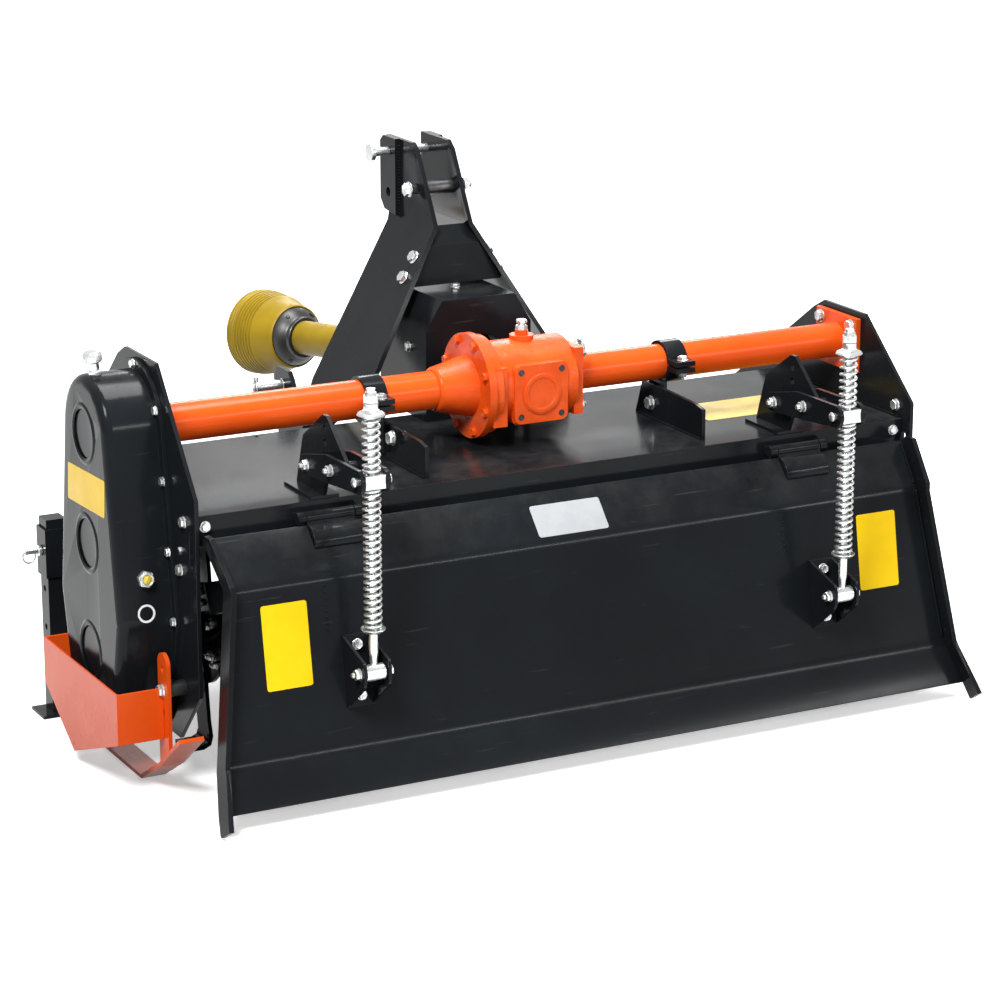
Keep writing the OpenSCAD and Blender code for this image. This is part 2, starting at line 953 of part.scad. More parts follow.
// Skid: a sole with a long rear ramp, two drilled uprights near its outer edge and their spacers
module skid(side, centre_x) {
    sole = [[-292, 135], [-190, 58], [-90, 0], [176, 0], [244, 74]];
    sole_in = 12;
    holes = [-42, 0, 42];
    half = upright_w / 2;
    color(orange)
        placed()
            translate([side * centre_x, 0, 0]) {
                translate([-side * sole_in, 0, 0])
                    along_x(skid_w)
                        polygon(band(sole, 0, skid_t));
                for (s = [-1, 1])
                    along_x(skid_t)
                        difference() {
                            union() {
                                polygon([
                                    [s * upright_y - half, foot_z_at(sole, s * upright_y - half)],
                                    [s * upright_y + half, foot_z_at(sole, s * upright_y + half)],
                                    [s * upright_y + half, skid_bolt_z + 50],
                                    [s * upright_y - half, skid_bolt_z + 50]
                                ]);
                                translate([s * upright_y, skid_bolt_z + 50])
                                    circle(d = upright_w);
                            }
                            for (rise = holes)
                                translate([s * upright_y, skid_bolt_z + rise])
                                    circle(d = 13);
                        }
                for (s = [-1, 1])
                    rod_x_dir(
                        24,
                        side > 0 ? plate_out - centre_x : skid_t / 2,
                        side > 0 ? -skid_t / 2 : centre_x - plate_out,
                        [s * upright_y, skid_bolt_z]
                    );
            }
}

module skid_left() {
    skid(-1, skid_x_left);
}

module skid_right() {
    skid(1, skid_x_right);
}

// Flanged bearing housing of the rotor's right end
module rotor_bearing() {
    color(charcoal)
        placed()
            difference() {
                union() {
                    rod_x_dir(150, half_w - 10, half_w, [0, axle_z]);
                    rod_x_dir(92, half_w - 26, half_w, [0, axle_z]);
                }
                rod_x_dir(stub_d + 2 * run_gap, half_w - 30, half_w + 1, [0, axle_z]);
            }
}

stand_x = plate_out + 57;
sleeve_w = leg_w + 2 * run_gap + 8;
sleeve_low = 289;
sleeve_high = 389;
stand_pin_z = 342;
stand_pin_d = 12;

// Square sleeve of the parking stand on a bracket from the left side plate
module stand_sleeve() {
    bore = leg_w + 2 * run_gap;
    color(charcoal)
        placed()
            difference() {
                union() {
                    translate([-stand_x - sleeve_w / 2, stand_y - sleeve_w / 2, sleeve_low])
                        cube([sleeve_w, sleeve_w, sleeve_high - sleeve_low]);
                    translate([-stand_x, stand_y - 5, sleeve_low + 14])
                        cube([stand_x - plate_out, 10, sleeve_high - sleeve_low - 28]);
                }
                translate([-stand_x - bore / 2, stand_y - bore / 2, sleeve_low - 1])
                    cube([bore, bore, sleeve_high - sleeve_low + 2]);
                rod_x_dir(
                    stand_pin_d + 2 * pin_gap,
                    -stand_x - sleeve_w, -stand_x,
                    [stand_y, stand_pin_z]
                );
            }
}

// Locking pin in the sleeve's outer wall, with its ring of spring wire
module stand_pin() {
    tip = stand_x + leg_w / 2 + 2 * run_gap;
    color(zinc)
        placed() {
            rod_x_dir(stand_pin_d, -tip - 38, -tip, [stand_y, stand_pin_z]);
            rod_x_dir(22, -tip - 10, -tip - 5, [stand_y, stand_pin_z]);
            translate([-tip - 30, stand_y, stand_pin_z - 10])
                rotate([90, 0, 0])
                    rotate_extrude($fn = 24)
                        translate([13, 0])
                            circle(d = 4, $fn = 16);
        }
}

// Square leg of the parking stand with a row of pin holes and a foot
module stand_leg() {
    foot_t = 6;
    color(charcoal)
        placed()
            translate([-stand_x, stand_y, 0])
                difference() {
                    union() {
                        translate([-leg_w / 2, -leg_w / 2, foot_t])
                            cube([leg_w, leg_w, leg_top - foot_t]);
                        translate([-46, -36, 0])
                            cube([92, 72, foot_t]);
                    }
                    for (z = [stand_pin_z - 240:80:stand_pin_z])
                        rod_x_dir(stand_pin_d + 1, -leg_w, leg_w, [0, z]);
                }
}

// Lengths of a hinge's middle knuckle and of the ears at its ends
knuckle_l = 98;
knuckle_ear = 16;
hinge_x = 515;
hinge_pin_d = 10;

// Ears of the tailgate's hinges, welded to the deck's lip, with their pins
module hinge_knuckles() {
    web_h = 16;
    start = knuckle_l / 2 + 1;
    color(charcoal)
        placed()
            for (s = [-1, 1])
                translate([s * hinge_x, 0, 0]) {
                    for (e = [0, 1])
                        mirror([e, 0, 0]) {
                            rod_x_dir(knuckle_d, start, start + knuckle_ear, [hinge_y, hinge_z]);
                            translate([start, hinge_y, hinge_z - web_h / 2])
                                cube([knuckle_ear, -deck_rear - hinge_y, web_h]);
                        }
                    rod_x_dir(
                        hinge_pin_d,
                        -start - knuckle_ear / 2, start + knuckle_ear / 2,
                        [hinge_y, hinge_z]
                    );
                }
}

// Middle knuckles of the hinges, each with a leaf on the tailgate's sheet
module tailgate_knuckles() {
    along = unit(gate_path[1] - gate_path[0]);
    across = [-along[1], along[0]];
    leaf_t = 5;
    start = gate_path[0] - 12 * along;
    finish = gate_path[0] + 46 * along;
    color(charcoal)
        placed()
            for (s = [-1, 1])
                translate([s * hinge_x, 0, 0])
                    difference() {
                        union() {
                            rod_x_dir(knuckle_d, -knuckle_l / 2, knuckle_l / 2, [hinge_y, hinge_z]);
                            along_x(knuckle_l)
                                polygon([
                                    start, finish, finish - leaf_t * across, start - leaf_t * across
                                ]);
                        }
                        rod_x_dir(hinge_pin_d + 2 * run_gap, -knuckle_l, knuckle_l, [hinge_y, hinge_z]);
                    }
}

// Tailgate sheet: three bent panels that flare out towards the lower edge
module tailgate_sheet() {
    edge = [for (i = [0:3]) gate_edge[i]];
    color(charcoal)
        placed()
            intersection() {
                along_x(2 * inner_w)
                    polygon(band(gate_path, 0, gate_t));
                along_y(-2 * rod_y, 0)
                    polygon(concat(edge, [for (p = backward(edge)) [-p[0], p[1]]]));
            }
}

// Bar along a side of the tailgate, standing out behind the sheet and ending in a foot
module tailgate_bar(side) {
    color(charcoal)
        placed()
            intersection() {
                along_x(2 * inner_w)
                    polygon(band(gate_bar_path, -gate_bar_out, gate_t + 4));
                along_y(-2 * rod_y, 0)
                    polygon([for (p = band(gate_edge, 0, gate_bar_t)) [side * p[0], p[1]]]);
            }
}

module tailgate_bar_left() {
    tailgate_bar(-1);
}

module tailgate_bar_right() {
    tailgate_bar(1);
}

ear_gap = 44;
ear_t = 6;
eye_pin_d = 12;
// Clearance round the eye pin for the rod's drift
eye_drift = 3.5;

// Place on the tailgate's middle panel, rear face, at height z
function panel_y(z) =
    let (a = gate_path[1], b = gate_path[2])
    a[0] + (b[0] - a[0]) * (a[1] - z) / (a[1] - b[1]);

// Bracket on the tailgate: a base on the panel, two ears and the pin through them
module rod_bracket(side) {
    reach_up = 52;
    reach_down = 83;
    base_t = 6;
    top = [panel_y(eye_z + reach_up), eye_z + reach_up];
    low = [panel_y(eye_z - reach_down), eye_z - reach_down];
    color(charcoal)
        placed()
            translate([side * rod_x, 0, 0]) {
                along_x(ear_gap + 2 * ear_t)
                    polygon(band([top, low], 0, -base_t));
                for (s = [-1, 1])
                    translate([s * (ear_gap + ear_t) / 2, 0, 0])
                        along_x(ear_t)
                            polygon([
                                top, low,
                                [-rod_y - 14, eye_z - 26],
                                [-rod_y - 20, eye_z - 12],
                                [-rod_y - 20, eye_z + 12],
                                [-rod_y - 14, eye_z + 26]
                            ]);
                rod_x_dir(eye_pin_d, -ear_gap / 2 - ear_t - 12, ear_gap / 2 + ear_t + 12, [-rod_y, eye_z]);
            }
}

module rod_bracket_left() {
    rod_bracket(-1);
}

module rod_bracket_right() {
    rod_bracket(1);
}

block_w = arm_gap - 2;
block_h = 26;

// Trunnion: a block bored for its rod, on two pivots in the spring arms
module trunnion(side) {
    color(zinc)
        placed()
            translate([side * rod_x, -rod_y, trunnion_z])
                difference() {
                    union() {
                        cube([block_w, 36, block_h], center = true);
                        rotate([0, 90, 0])
                            cylinder(d = pivot_d, h = arm_gap + 2 * arm_t + 12, center = true);
                    }
                    cylinder(d = rod_d + 2 * run_gap, h = block_h + 2, center = true);
                }
}

module trunnion_left() {
    trunnion(-1);
}

module trunnion_right() {
    trunnion(1);
}

// Lengths along a rod: the springs' seats and the rod's ends
upper_low = trunnion_z + block_h / 2;
upper_high = upper_low + 112;
lower_high = trunnion_z - block_h / 2;
lower_low = eye_z + 84;
washer_t = 7;
rod_top = upper_high + washer_t + 40;

// Rod with its eye, tapered end, lower and upper spring washers and top nuts
module spring_rod(side) {
    eye_d = eye_pin_d + 2 * eye_drift;
    eye_out = eye_d + 12;
    color(zinc)
        placed()
            translate([side * rod_x, -rod_y, 0])
                difference() {
                    union() {
                        translate([0, 0, eye_z + 40])
                            cylinder(d = rod_d, h = rod_top - eye_z - 40);
                        translate([0, 0, eye_z])
                            cylinder(d1 = 12, d2 = rod_d, h = 40);
                        translate([0, 0, eye_z])
                            rotate([0, 90, 0])
                                cylinder(d = eye_out, h = ear_gap - 6, center = true);
                        translate([0, 0, lower_low - washer_t])
                            cylinder(d1 = 30, d2 = spring_d + 10, h = washer_t);
                        translate([0, 0, upper_high])
                            cylinder(d1 = spring_d + 10, d2 = 30, h = washer_t);
                        translate([0, 0, upper_high + washer_t])
                            hex_head(26, 13);
                        translate([0, 0, upper_high + washer_t + 14])
                            hex_head(26, 13);
                    }
                    translate([0, 0, eye_z])
                        rotate([0, 90, 0])
                            cylinder(d = eye_d, h = ear_gap, center = true);
                }
}

module spring_rod_left() {
    spring_rod(-1);
}

module spring_rod_right() {
    spring_rod(1);
}

// Coil spring between two heights, its end turns touching its seats
module coil(z0, z1, turns) {
    steps = 10;
    sides = 6;
    rings = turns * steps;
    coil_r = (spring_d - wire_d) / 2;
    wire_r = wire_d / 2;
    rise = z1 - z0 - wire_d;
    points = [
        for (i = [0:rings], k = [0:sides - 1])
            let (
                a = i * 360 / steps,
                b = k * 360 / sides,
                r = coil_r + wire_r * cos(b)
            )
            [r * cos(a), r * sin(a), z0 + wire_r + rise * i / rings + wire_r * sin(b)]
    ];
    walls = [
        for (i = [0:rings - 1], k = [0:sides - 1])
            let (n = (k + 1) % sides)
            [i * sides + k, i * sides + n, (i + 1) * sides + n, (i + 1) * sides + k]
    ];
    start = [for (k = [sides - 1:-1:0]) k];
    finish = [for (k = [0:sides - 1]) rings * sides + k];
    polyhedron(points, concat(walls, [start, finish]), convexity = 10);
}

module upper_spring(side) {
    color(zinc)
        placed()
            translate([side * rod_x, -rod_y, 0])
                coil(upper_low, upper_high, upper_turns);
}

module upper_spring_left() {
    upper_spring(-1);
}

module upper_spring_right() {
    upper_spring(1);
}

module lower_spring(side) {
    color(zinc)
        placed()
            translate([side * rod_x, -rod_y, 0])
                coil(lower_low, lower_high, lower_turns);
}

module lower_spring_left() {
    lower_spring(-1);
}

module lower_spring_right() {
    lower_spring(1);
}

// Puts a piece on the driveline's axis, its Z along the axis from the gearbox input
module on_driveline() {
    placed()
        translate([drive_x, input_y, input_z])
            rotate([-90 - drive_down, 0, drive_left])
                children();
}

// Fork of a universal joint: a hub on the Z axis below the joint's centre and two ears along X
module fork(bore_d) {
    difference() {
        union() {
            translate([0, 0, -fork_l])
                cylinder(d = fork_hub_d, h = fork_l - ear_drop);
            for (s = [-1, 1])
                translate([s * (cross_l - fork_ear_t) / 2, 0, 0])
                    along_x(fork_ear_t) {
                        circle(d = fork_ear_w);
                        translate([-fork_ear_w / 2, -ear_drop - 2])
                            square([fork_ear_w, ear_drop + 2]);
                    }
        }
        rod_x_dir(cross_d + 2 * pin_gap, -cross_l, cross_l, [0, 0]);
        if (bore_d > 0)
            translate([0, 0, -fork_l - 1])
                cylinder(d = bore_d, h = fork_l);
    }
}

// Cross of a universal joint between two forks at right angles
module cross() {
    for (a = [0, 90])
        rotate([0, 0, a])
            rod_x_dir(cross_d, -cross_l / 2, cross_l / 2, [0, 0]);
}

// Ribbed guard cone: a bell of rings with its rim at the far end
module guard_cone(neck_d, rim_d) {
    wall = 4;
    rings = 6;
    outer = [
        for (i = [0:rings])
            let (f = i / rings)
            [neck_d / 2 + (rim_d - neck_d) / 2 * sin(90 * f), cone_l * f]
    ];
    rotate_extrude($fn = 40)
        polygon(concat(outer, [for (p = backward(outer)) [p[0] - wall, p[1]]]));
}

// Collar that carries a guard cone and turns on the drive shaft
module guard_collar() {
    difference() {
        cylinder(d1 = guard_tube_d + 12, d2 = collar_d, h = collar_l);
        translate([0, 0, -1])
            cylinder(d = shaft_d + 2 * run_gap, h = collar_l + 2);
    }
}

// Fork on the gearbox's input shaft with the cross of the rear universal joint
module input_yoke() {
    color(steel) {
        placed()
            translate([drive_x, input_y, input_z])
                rotate([-90, 90, 0])
                    fork(0);
        on_driveline()
            cross();
    }
}

// Shaft between the two universal joints, with a fork at each end
module drive_shaft() {
    color(steel)
        on_driveline() {
            mirror([0, 0, 1])
                fork(0);
            translate([0, 0, fork_l])
                cylinder(d = shaft_d, h = front_joint - 2 * fork_l);
            translate([0, 0, front_joint])
                fork(0);
        }
}

module rear_cone() {
    color(guard_yellow)
        on_driveline()
            translate([0, 0, rear_start + cone_l])
                mirror([0, 0, 1])
                    guard_cone(collar_d, cone_rim_d - 12);
}

module rear_collar() {
    color(rubber_black)
        on_driveline()
            translate([0, 0, rear_start + cone_l + collar_l])
                mirror([0, 0, 1])
                    guard_collar();
}

module guard_tube() {
    start = rear_start + cone_l + collar_l;
    wall = 4;
    color(guard_yellow)
        on_driveline()
            translate([0, 0, start])
                difference() {
                    cylinder(d = guard_tube_d, h = front_start - collar_l - start);
                    translate([0, 0, -1])
                        cylinder(d = guard_tube_d - 2 * wall, h = drive_len);
                }
}

module front_collar() {
    color(rubber_black)
        on_driveline()
            translate([0, 0, front_start - collar_l])
                guard_collar();
}

module front_cone() {
    color(guard_yellow)
        on_driveline()
            translate([0, 0, front_start])
                guard_cone(collar_d, cone_rim_d);
}

// Front yoke, bored for the tractor's shaft, with the cross of the front universal joint
module front_yoke() {
    color(steel)
        on_driveline()
            translate([0, 0, front_joint]) {
                rotate([0, 0, 90])
                    mirror([0, 0, 1])
                        fork(yoke_bore_d);
                cross();
            }
}

// One tine: a flat shank that sweeps forward and bends over into a foot along the rotor
module tine(bend) {
    foot_l = 58;
    bend_r = 22;
    sweep = 56;
    blade_w = 62;
    root_w = 48;
    root_r = rotor_flange_d / 2 - 50;
    foot_r = sqrt(pow(tip_r, 2) - pow(sweep, 2));
    path = [
        [0, root_r],
        [0, foot_r - bend_r],
        [bend * bend_r * (1 - cos(45)), foot_r - bend_r * (1 - sin(45))],
        [bend * bend_r, foot_r],
        [bend * foot_l, foot_r]
    ];
    outline = [
        [-root_w / 2, root_r],
        [root_w / 2, root_r],
        [root_w / 2 + sweep / 8, root_r + (foot_r - root_r) * 0.4],
        [root_w / 2 + sweep / 4, root_r + (foot_r - root_r) * 0.7],
        [sweep, foot_r + tine_t],
        [sweep - blade_w, foot_r + tine_t],
        [sweep / 4 - blade_w / 2, root_r + (foot_r - root_r) * 0.7],
        [-root_w / 2, root_r + (foot_r - root_r) * 0.4]
    ];
    intersection() {
        along_y(-blade_w, blade_w)
            polygon(band(path, 0, -bend * tine_t));
        along_x(4 * foot_l)
            polygon(outline);
    }
}

// Rotor: a tube on two end shafts, with flanges that carry bent tines
module rotor() {
    end_gap = 40;
    end_play = 1;
    flange_t = 8;
    tine_seat = 1;
    reach = half_w - end_gap - 70;
    turn = 360 / tines_each;
    color(charcoal)
        placed() {
            rod_x_dir(rotor_tube_d, -half_w + end_gap, half_w - end_gap, [0, axle_z]);
            rod_x_dir(stub_d, -plate_out + end_play, half_w - end_play, [0, axle_z]);
            for (i = [0:flange_count - 1])
                translate([-reach + 2 * reach * i / (flange_count - 1), 0, axle_z])
                    rotate([i * turn / flange_count, 0, 0]) {
                        rotate([0, 90, 0])
                            cylinder(d = rotor_flange_d, h = flange_t, center = true);
                        for (k = [0:tines_each - 1])
                            rotate([k * turn, 0, 0])
                                translate([(k % 2 == 0 ? 1 : -1) * (flange_t / 2 - tine_seat), 0, 0])
                                    tine(k % 2 == 0 ? 1 : -1);
                    }
        }
}

deck();
front_bar();
side_plate_left();
side_plate_right();
hitch_bracket_left();
hitch_bracket_right();
hitch_pin_left();
hitch_pin_right();
mast_plate_left();
mast_plate_right();
mast_brace();
mast_spacer();
top_link_pin();
pto_shield();
gearbox();
beam_left();
beam_right();
beam_clamp_left();
beam_clamp_right();
deck_bracket_left();
deck_bracket_right();
spring_bracket_left();
spring_bracket_right();
spring_arms_left();
spring_arms_right();
gear_case();
breather();
oil_sight_plug();
case_guard();
skid_left();
skid_right();
rotor_bearing();
stand_sleeve();
stand_pin();
hinge_knuckles();
input_yoke();
drive_shaft();
rear_cone();
rear_collar();
guard_tube();
front_collar();
front_cone();
front_yoke();
rotor();
tailgate_sheet();
tailgate_bar_left();
tailgate_bar_right();
tailgate_knuckles();
rod_bracket_left();
rod_bracket_right();
trunnion_left();
trunnion_right();
upper_spring_left();
upper_spring_right();
spring_rod_left();
spring_rod_right();
lower_spring_left();
lower_spring_right();
stand_leg();
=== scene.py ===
"""Studio model of a three-point rotary tiller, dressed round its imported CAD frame."""
import json
import logging
import math
from contextlib import contextmanager
from dataclasses import dataclass, field
from enum import Enum
from typing import Callable, Iterable, Iterator, Sequence

import bmesh
import bpy
from mathutils import Matrix, Vector

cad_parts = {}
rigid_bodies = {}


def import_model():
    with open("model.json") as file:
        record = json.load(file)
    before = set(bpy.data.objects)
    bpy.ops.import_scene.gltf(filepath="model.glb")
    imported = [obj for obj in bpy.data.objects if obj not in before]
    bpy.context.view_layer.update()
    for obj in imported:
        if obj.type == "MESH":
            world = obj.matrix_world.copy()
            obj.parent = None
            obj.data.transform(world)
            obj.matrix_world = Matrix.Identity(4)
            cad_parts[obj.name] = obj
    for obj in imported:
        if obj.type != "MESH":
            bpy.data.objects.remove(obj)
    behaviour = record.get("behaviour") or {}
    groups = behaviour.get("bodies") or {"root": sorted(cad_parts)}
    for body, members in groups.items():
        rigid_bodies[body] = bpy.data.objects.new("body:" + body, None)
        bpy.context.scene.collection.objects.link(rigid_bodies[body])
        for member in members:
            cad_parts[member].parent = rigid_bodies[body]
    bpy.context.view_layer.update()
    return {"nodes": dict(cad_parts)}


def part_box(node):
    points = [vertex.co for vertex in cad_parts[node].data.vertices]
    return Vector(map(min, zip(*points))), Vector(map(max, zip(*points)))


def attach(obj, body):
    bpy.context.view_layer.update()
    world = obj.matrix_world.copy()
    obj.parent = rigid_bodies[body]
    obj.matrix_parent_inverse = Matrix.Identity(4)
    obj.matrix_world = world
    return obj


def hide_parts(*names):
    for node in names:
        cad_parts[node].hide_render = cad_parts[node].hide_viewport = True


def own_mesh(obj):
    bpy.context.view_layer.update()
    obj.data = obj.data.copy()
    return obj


for stray in list(bpy.data.objects):
    bpy.data.objects.remove(stray)
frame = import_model()

LOG = logging.getLogger("rotary_tiller")
MM = 0.001
UP = Vector((0.0, 0.0, 1.0))
LEFT = Vector((-1.0, 0.0, 0.0))
RIGHT = Vector((1.0, 0.0, 0.0))
REAR = Vector((0.0, -1.0, 0.0))
Colour = tuple[float, float, float, float]


def find_datum() -> Vector:
    """Find the middle between the side plates, on the beam's axis.

    Returns:
        The datum on the ground, in metres.
    """
    left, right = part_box("side_plate_left")[0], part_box("side_plate_right")[1]
    low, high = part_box("beam_left")
    return Vector(((left.x + right.x) / 2, (low.y + high.y) / 2, 0.0))


DATUM = find_datum()


def at(x: float, y: float, z: float) -> Vector:
    """Give the point x right, y forward and z up from the datum.

    Args:
        x: Millimetres to the right of the middle.
        y: Millimetres forward of the beam's axis.
        z: Millimetres above the ground.

    Returns:
        The point in metres.
    """
    return DATUM + Vector((x, y, z)) * MM


def srgb(red: int, green: int, blue: int) -> Colour:
    """Turn a colour as seen on a screen into the linear one that shaders take.

    Args:
        red: Red from 0 to 255.
        green: Green from 0 to 255.
        blue: Blue from 0 to 255.

    Returns:
        The linear colour with full alpha.
    """
    def lin(level: int) -> float:
        """Linear value of one channel."""
        share = level / 255
        return share / 12.92 if share <= 0.04045 else ((share + 0.055) / 1.055) ** 2.4

    return (lin(red), lin(green), lin(blue), 1.0)


class Effect(Enum):
    """Shader groups that several finishes share."""

    MOTTLE = "tone_mottle"
    GRAIN = "surface_grain"
    DUST = "settled_dust"
    SCUFF = "fine_scuffs"


class EffectShop:
    """Builds each shared shader group once."""

    CLOUD = (0.32, 0.68)
    LEVEL = (0.45, 0.98)
    PATCH = (0.38, 0.72)
    THIN = (0.66, 0.74)
    SLANT = (0.3, 0.5, 0.7)
    DRAWN = (0.6, 9.0, 9.0)
    BROAD = 0.12

    def __init__(self) -> None:
        """Start with no group built."""
        self.made: dict[Effect, bpy.types.NodeTree] = {}

    def get(self, effect: Effect) -> bpy.types.NodeTree:
        """Give a group, building it on its first use.

        Args:
            effect: The group that is wanted.

        Returns:
            The shader node group.
        """
        if effect not in self.made:
            tree = bpy.data.node_groups.new(effect.value, "ShaderNodeTree")
            builders = {
                Effect.MOTTLE: self.mottle, Effect.GRAIN: self.grain,
                Effect.DUST: self.dust, Effect.SCUFF: self.scuff,
            }
            builders[effect](tree)
            self.made[effect] = tree
        return self.made[effect]

    @staticmethod
    def sockets(tree: bpy.types.NodeTree, ins: dict[str, object],
                outs: dict[str, str]) -> tuple[bpy.types.Node, bpy.types.Node]:
        """Give a group its sockets.

        Args:
            tree: The group.
            ins: Input names with a default number or colour.
            outs: Output names with their socket types.

        Returns:
            The group's input and output nodes.
        """
        for name, value in ins.items():
            kind = "NodeSocketColor" if isinstance(value, tuple) else "NodeSocketFloat"
            tree.interface.new_socket(name, in_out="INPUT", socket_type=kind).default_value = value
        for name, kind in outs.items():
            tree.interface.new_socket(name, in_out="OUTPUT", socket_type=kind)
        return tree.nodes.new("NodeGroupInput"), tree.nodes.new("NodeGroupOutput")

    @staticmethod
    def noise(tree: bpy.types.NodeTree, detail: float, rough: float) -> bpy.types.Node:
        """Add a noise texture on object coordinates.

        Args:
            tree: The group that takes it.
            detail: Octaves of the noise.
            rough: How strongly the fine octaves show.

        Returns:
            The noise node.
        """
        coords = tree.nodes.new("ShaderNodeTexCoord")
        node = tree.nodes.new("ShaderNodeTexNoise")
        node.inputs["Detail"].default_value = detail
        node.inputs["Roughness"].default_value = rough
        tree.links.new(coords.outputs["Object"], node.inputs["Vector"])
        return node

    @staticmethod
    def span(tree: bpy.types.NodeTree, source: bpy.types.NodeSocket, low: float,
             high: float) -> bpy.types.NodeSocket:
        """Stretch a value between two levels to run from 0 to 1.

        Args:
            tree: The group that takes the node.
            source: The value.
            low: The level that becomes 0.
            high: The level that becomes 1.

        Returns:
            The result's socket.
        """
        node = tree.nodes.new("ShaderNodeMapRange")
        node.interpolation_type = "SMOOTHSTEP"
        node.inputs["From Min"].default_value = low
        node.inputs["From Max"].default_value = high
        tree.links.new(source, node.inputs["Value"])
        return node.outputs["Result"]

    @staticmethod
    def maths(tree: bpy.types.NodeTree, operation: str, *values: object) -> bpy.types.NodeSocket:
        """Add a maths node.

        Args:
            tree: The group that takes it.
            operation: Blender's name of the operation.
            *values: Sockets or numbers, in order.

        Returns:
            The result's socket.
        """
        node = tree.nodes.new("ShaderNodeMath")
        node.operation = operation
        for slot, value in zip(node.inputs, values):
            if isinstance(value, (int, float)):
                slot.default_value = value
            else:
                tree.links.new(value, slot)
        return node.outputs[0]

    def mottle(self, tree: bpy.types.NodeTree) -> None:
        """Mix two tones of one colour in soft clouds.

        Args:
            tree: The group to fill.
        """
        ins, outs = self.sockets(
            tree, {"Colour": srgb(128, 128, 128), "Second": srgb(100, 100, 100), "Scale": 6.0},
            {"Colour": "NodeSocketColor", "Cloud": "NodeSocketFloat"})
        cloud = self.noise(tree, 5.0, 0.55)
        tree.links.new(ins.outputs["Scale"], cloud.inputs["Scale"])
        spread = self.span(tree, cloud.outputs["Fac"], *self.CLOUD)
        mix = tree.nodes.new("ShaderNodeMix")
        mix.data_type = "RGBA"
        tree.links.new(spread, mix.inputs["Factor"])
        tree.links.new(ins.outputs["Colour"], mix.inputs["A"])
        tree.links.new(ins.outputs["Second"], mix.inputs["B"])
        tree.links.new(mix.outputs["Result"], outs.inputs["Colour"])
        tree.links.new(spread, outs.inputs["Cloud"])

    def grain(self, tree: bpy.types.NodeTree) -> None:
        """Give fine relief: a broad swell with pits or pips on it.

        Args:
            tree: The group to fill.
        """
        ins, outs = self.sockets(tree, {"Scale": 300.0, "Swell": 0.5}, {"Height": "NodeSocketFloat"})
        fine = self.noise(tree, 3.0, 0.6)
        broad = self.noise(tree, 2.0, 0.5)
        tree.links.new(ins.outputs["Scale"], fine.inputs["Scale"])
        tree.links.new(self.maths(tree, "MULTIPLY", ins.outputs["Scale"], self.BROAD), broad.inputs["Scale"])
        swell = self.maths(tree, "MULTIPLY", broad.outputs["Fac"], ins.outputs["Swell"])
        tree.links.new(self.maths(tree, "ADD", fine.outputs["Fac"], swell), outs.inputs["Height"])

    def dust(self, tree: bpy.types.NodeTree) -> None:
        """Mask the faces that look up, in patches.

        Args:
            tree: The group to fill.
        """
        ins, outs = self.sockets(tree, {"Scale": 9.0}, {"Mask": "NodeSocketFloat"})
        shape = tree.nodes.new("ShaderNodeNewGeometry")
        parts = tree.nodes.new("ShaderNodeSeparateXYZ")
        tree.links.new(shape.outputs["Normal"], parts.inputs[0])
        level = self.span(tree, parts.outputs["Z"], *self.LEVEL)
        patch = self.noise(tree, 7.0, 0.7)
        tree.links.new(ins.outputs["Scale"], patch.inputs["Scale"])
        spread = self.span(tree, patch.outputs["Fac"], *self.PATCH)
        tree.links.new(self.maths(tree, "MULTIPLY", level, spread), outs.inputs["Mask"])

    def scuff(self, tree: bpy.types.NodeTree) -> None:
        """Mask thin drawn-out scratches.

        Args:
            tree: The group to fill.
        """
        ins, outs = self.sockets(tree, {"Scale": 14.0}, {"Mask": "NodeSocketFloat"})
        coords = tree.nodes.new("ShaderNodeTexCoord")
        turn = tree.nodes.new("ShaderNodeMapping")
        turn.inputs["Rotation"].default_value = self.SLANT
        turn.inputs["Scale"].default_value = self.DRAWN
        lines = tree.nodes.new("ShaderNodeTexNoise")
        lines.inputs["Detail"].default_value = 4.0
        tree.links.new(coords.outputs["Object"], turn.inputs["Vector"])
        tree.links.new(turn.outputs["Vector"], lines.inputs["Vector"])
        tree.links.new(ins.outputs["Scale"], lines.inputs["Scale"])
        tree.links.new(self.span(tree, lines.outputs["Fac"], *self.THIN), outs.inputs["Mask"])


EFFECTS = EffectShop()


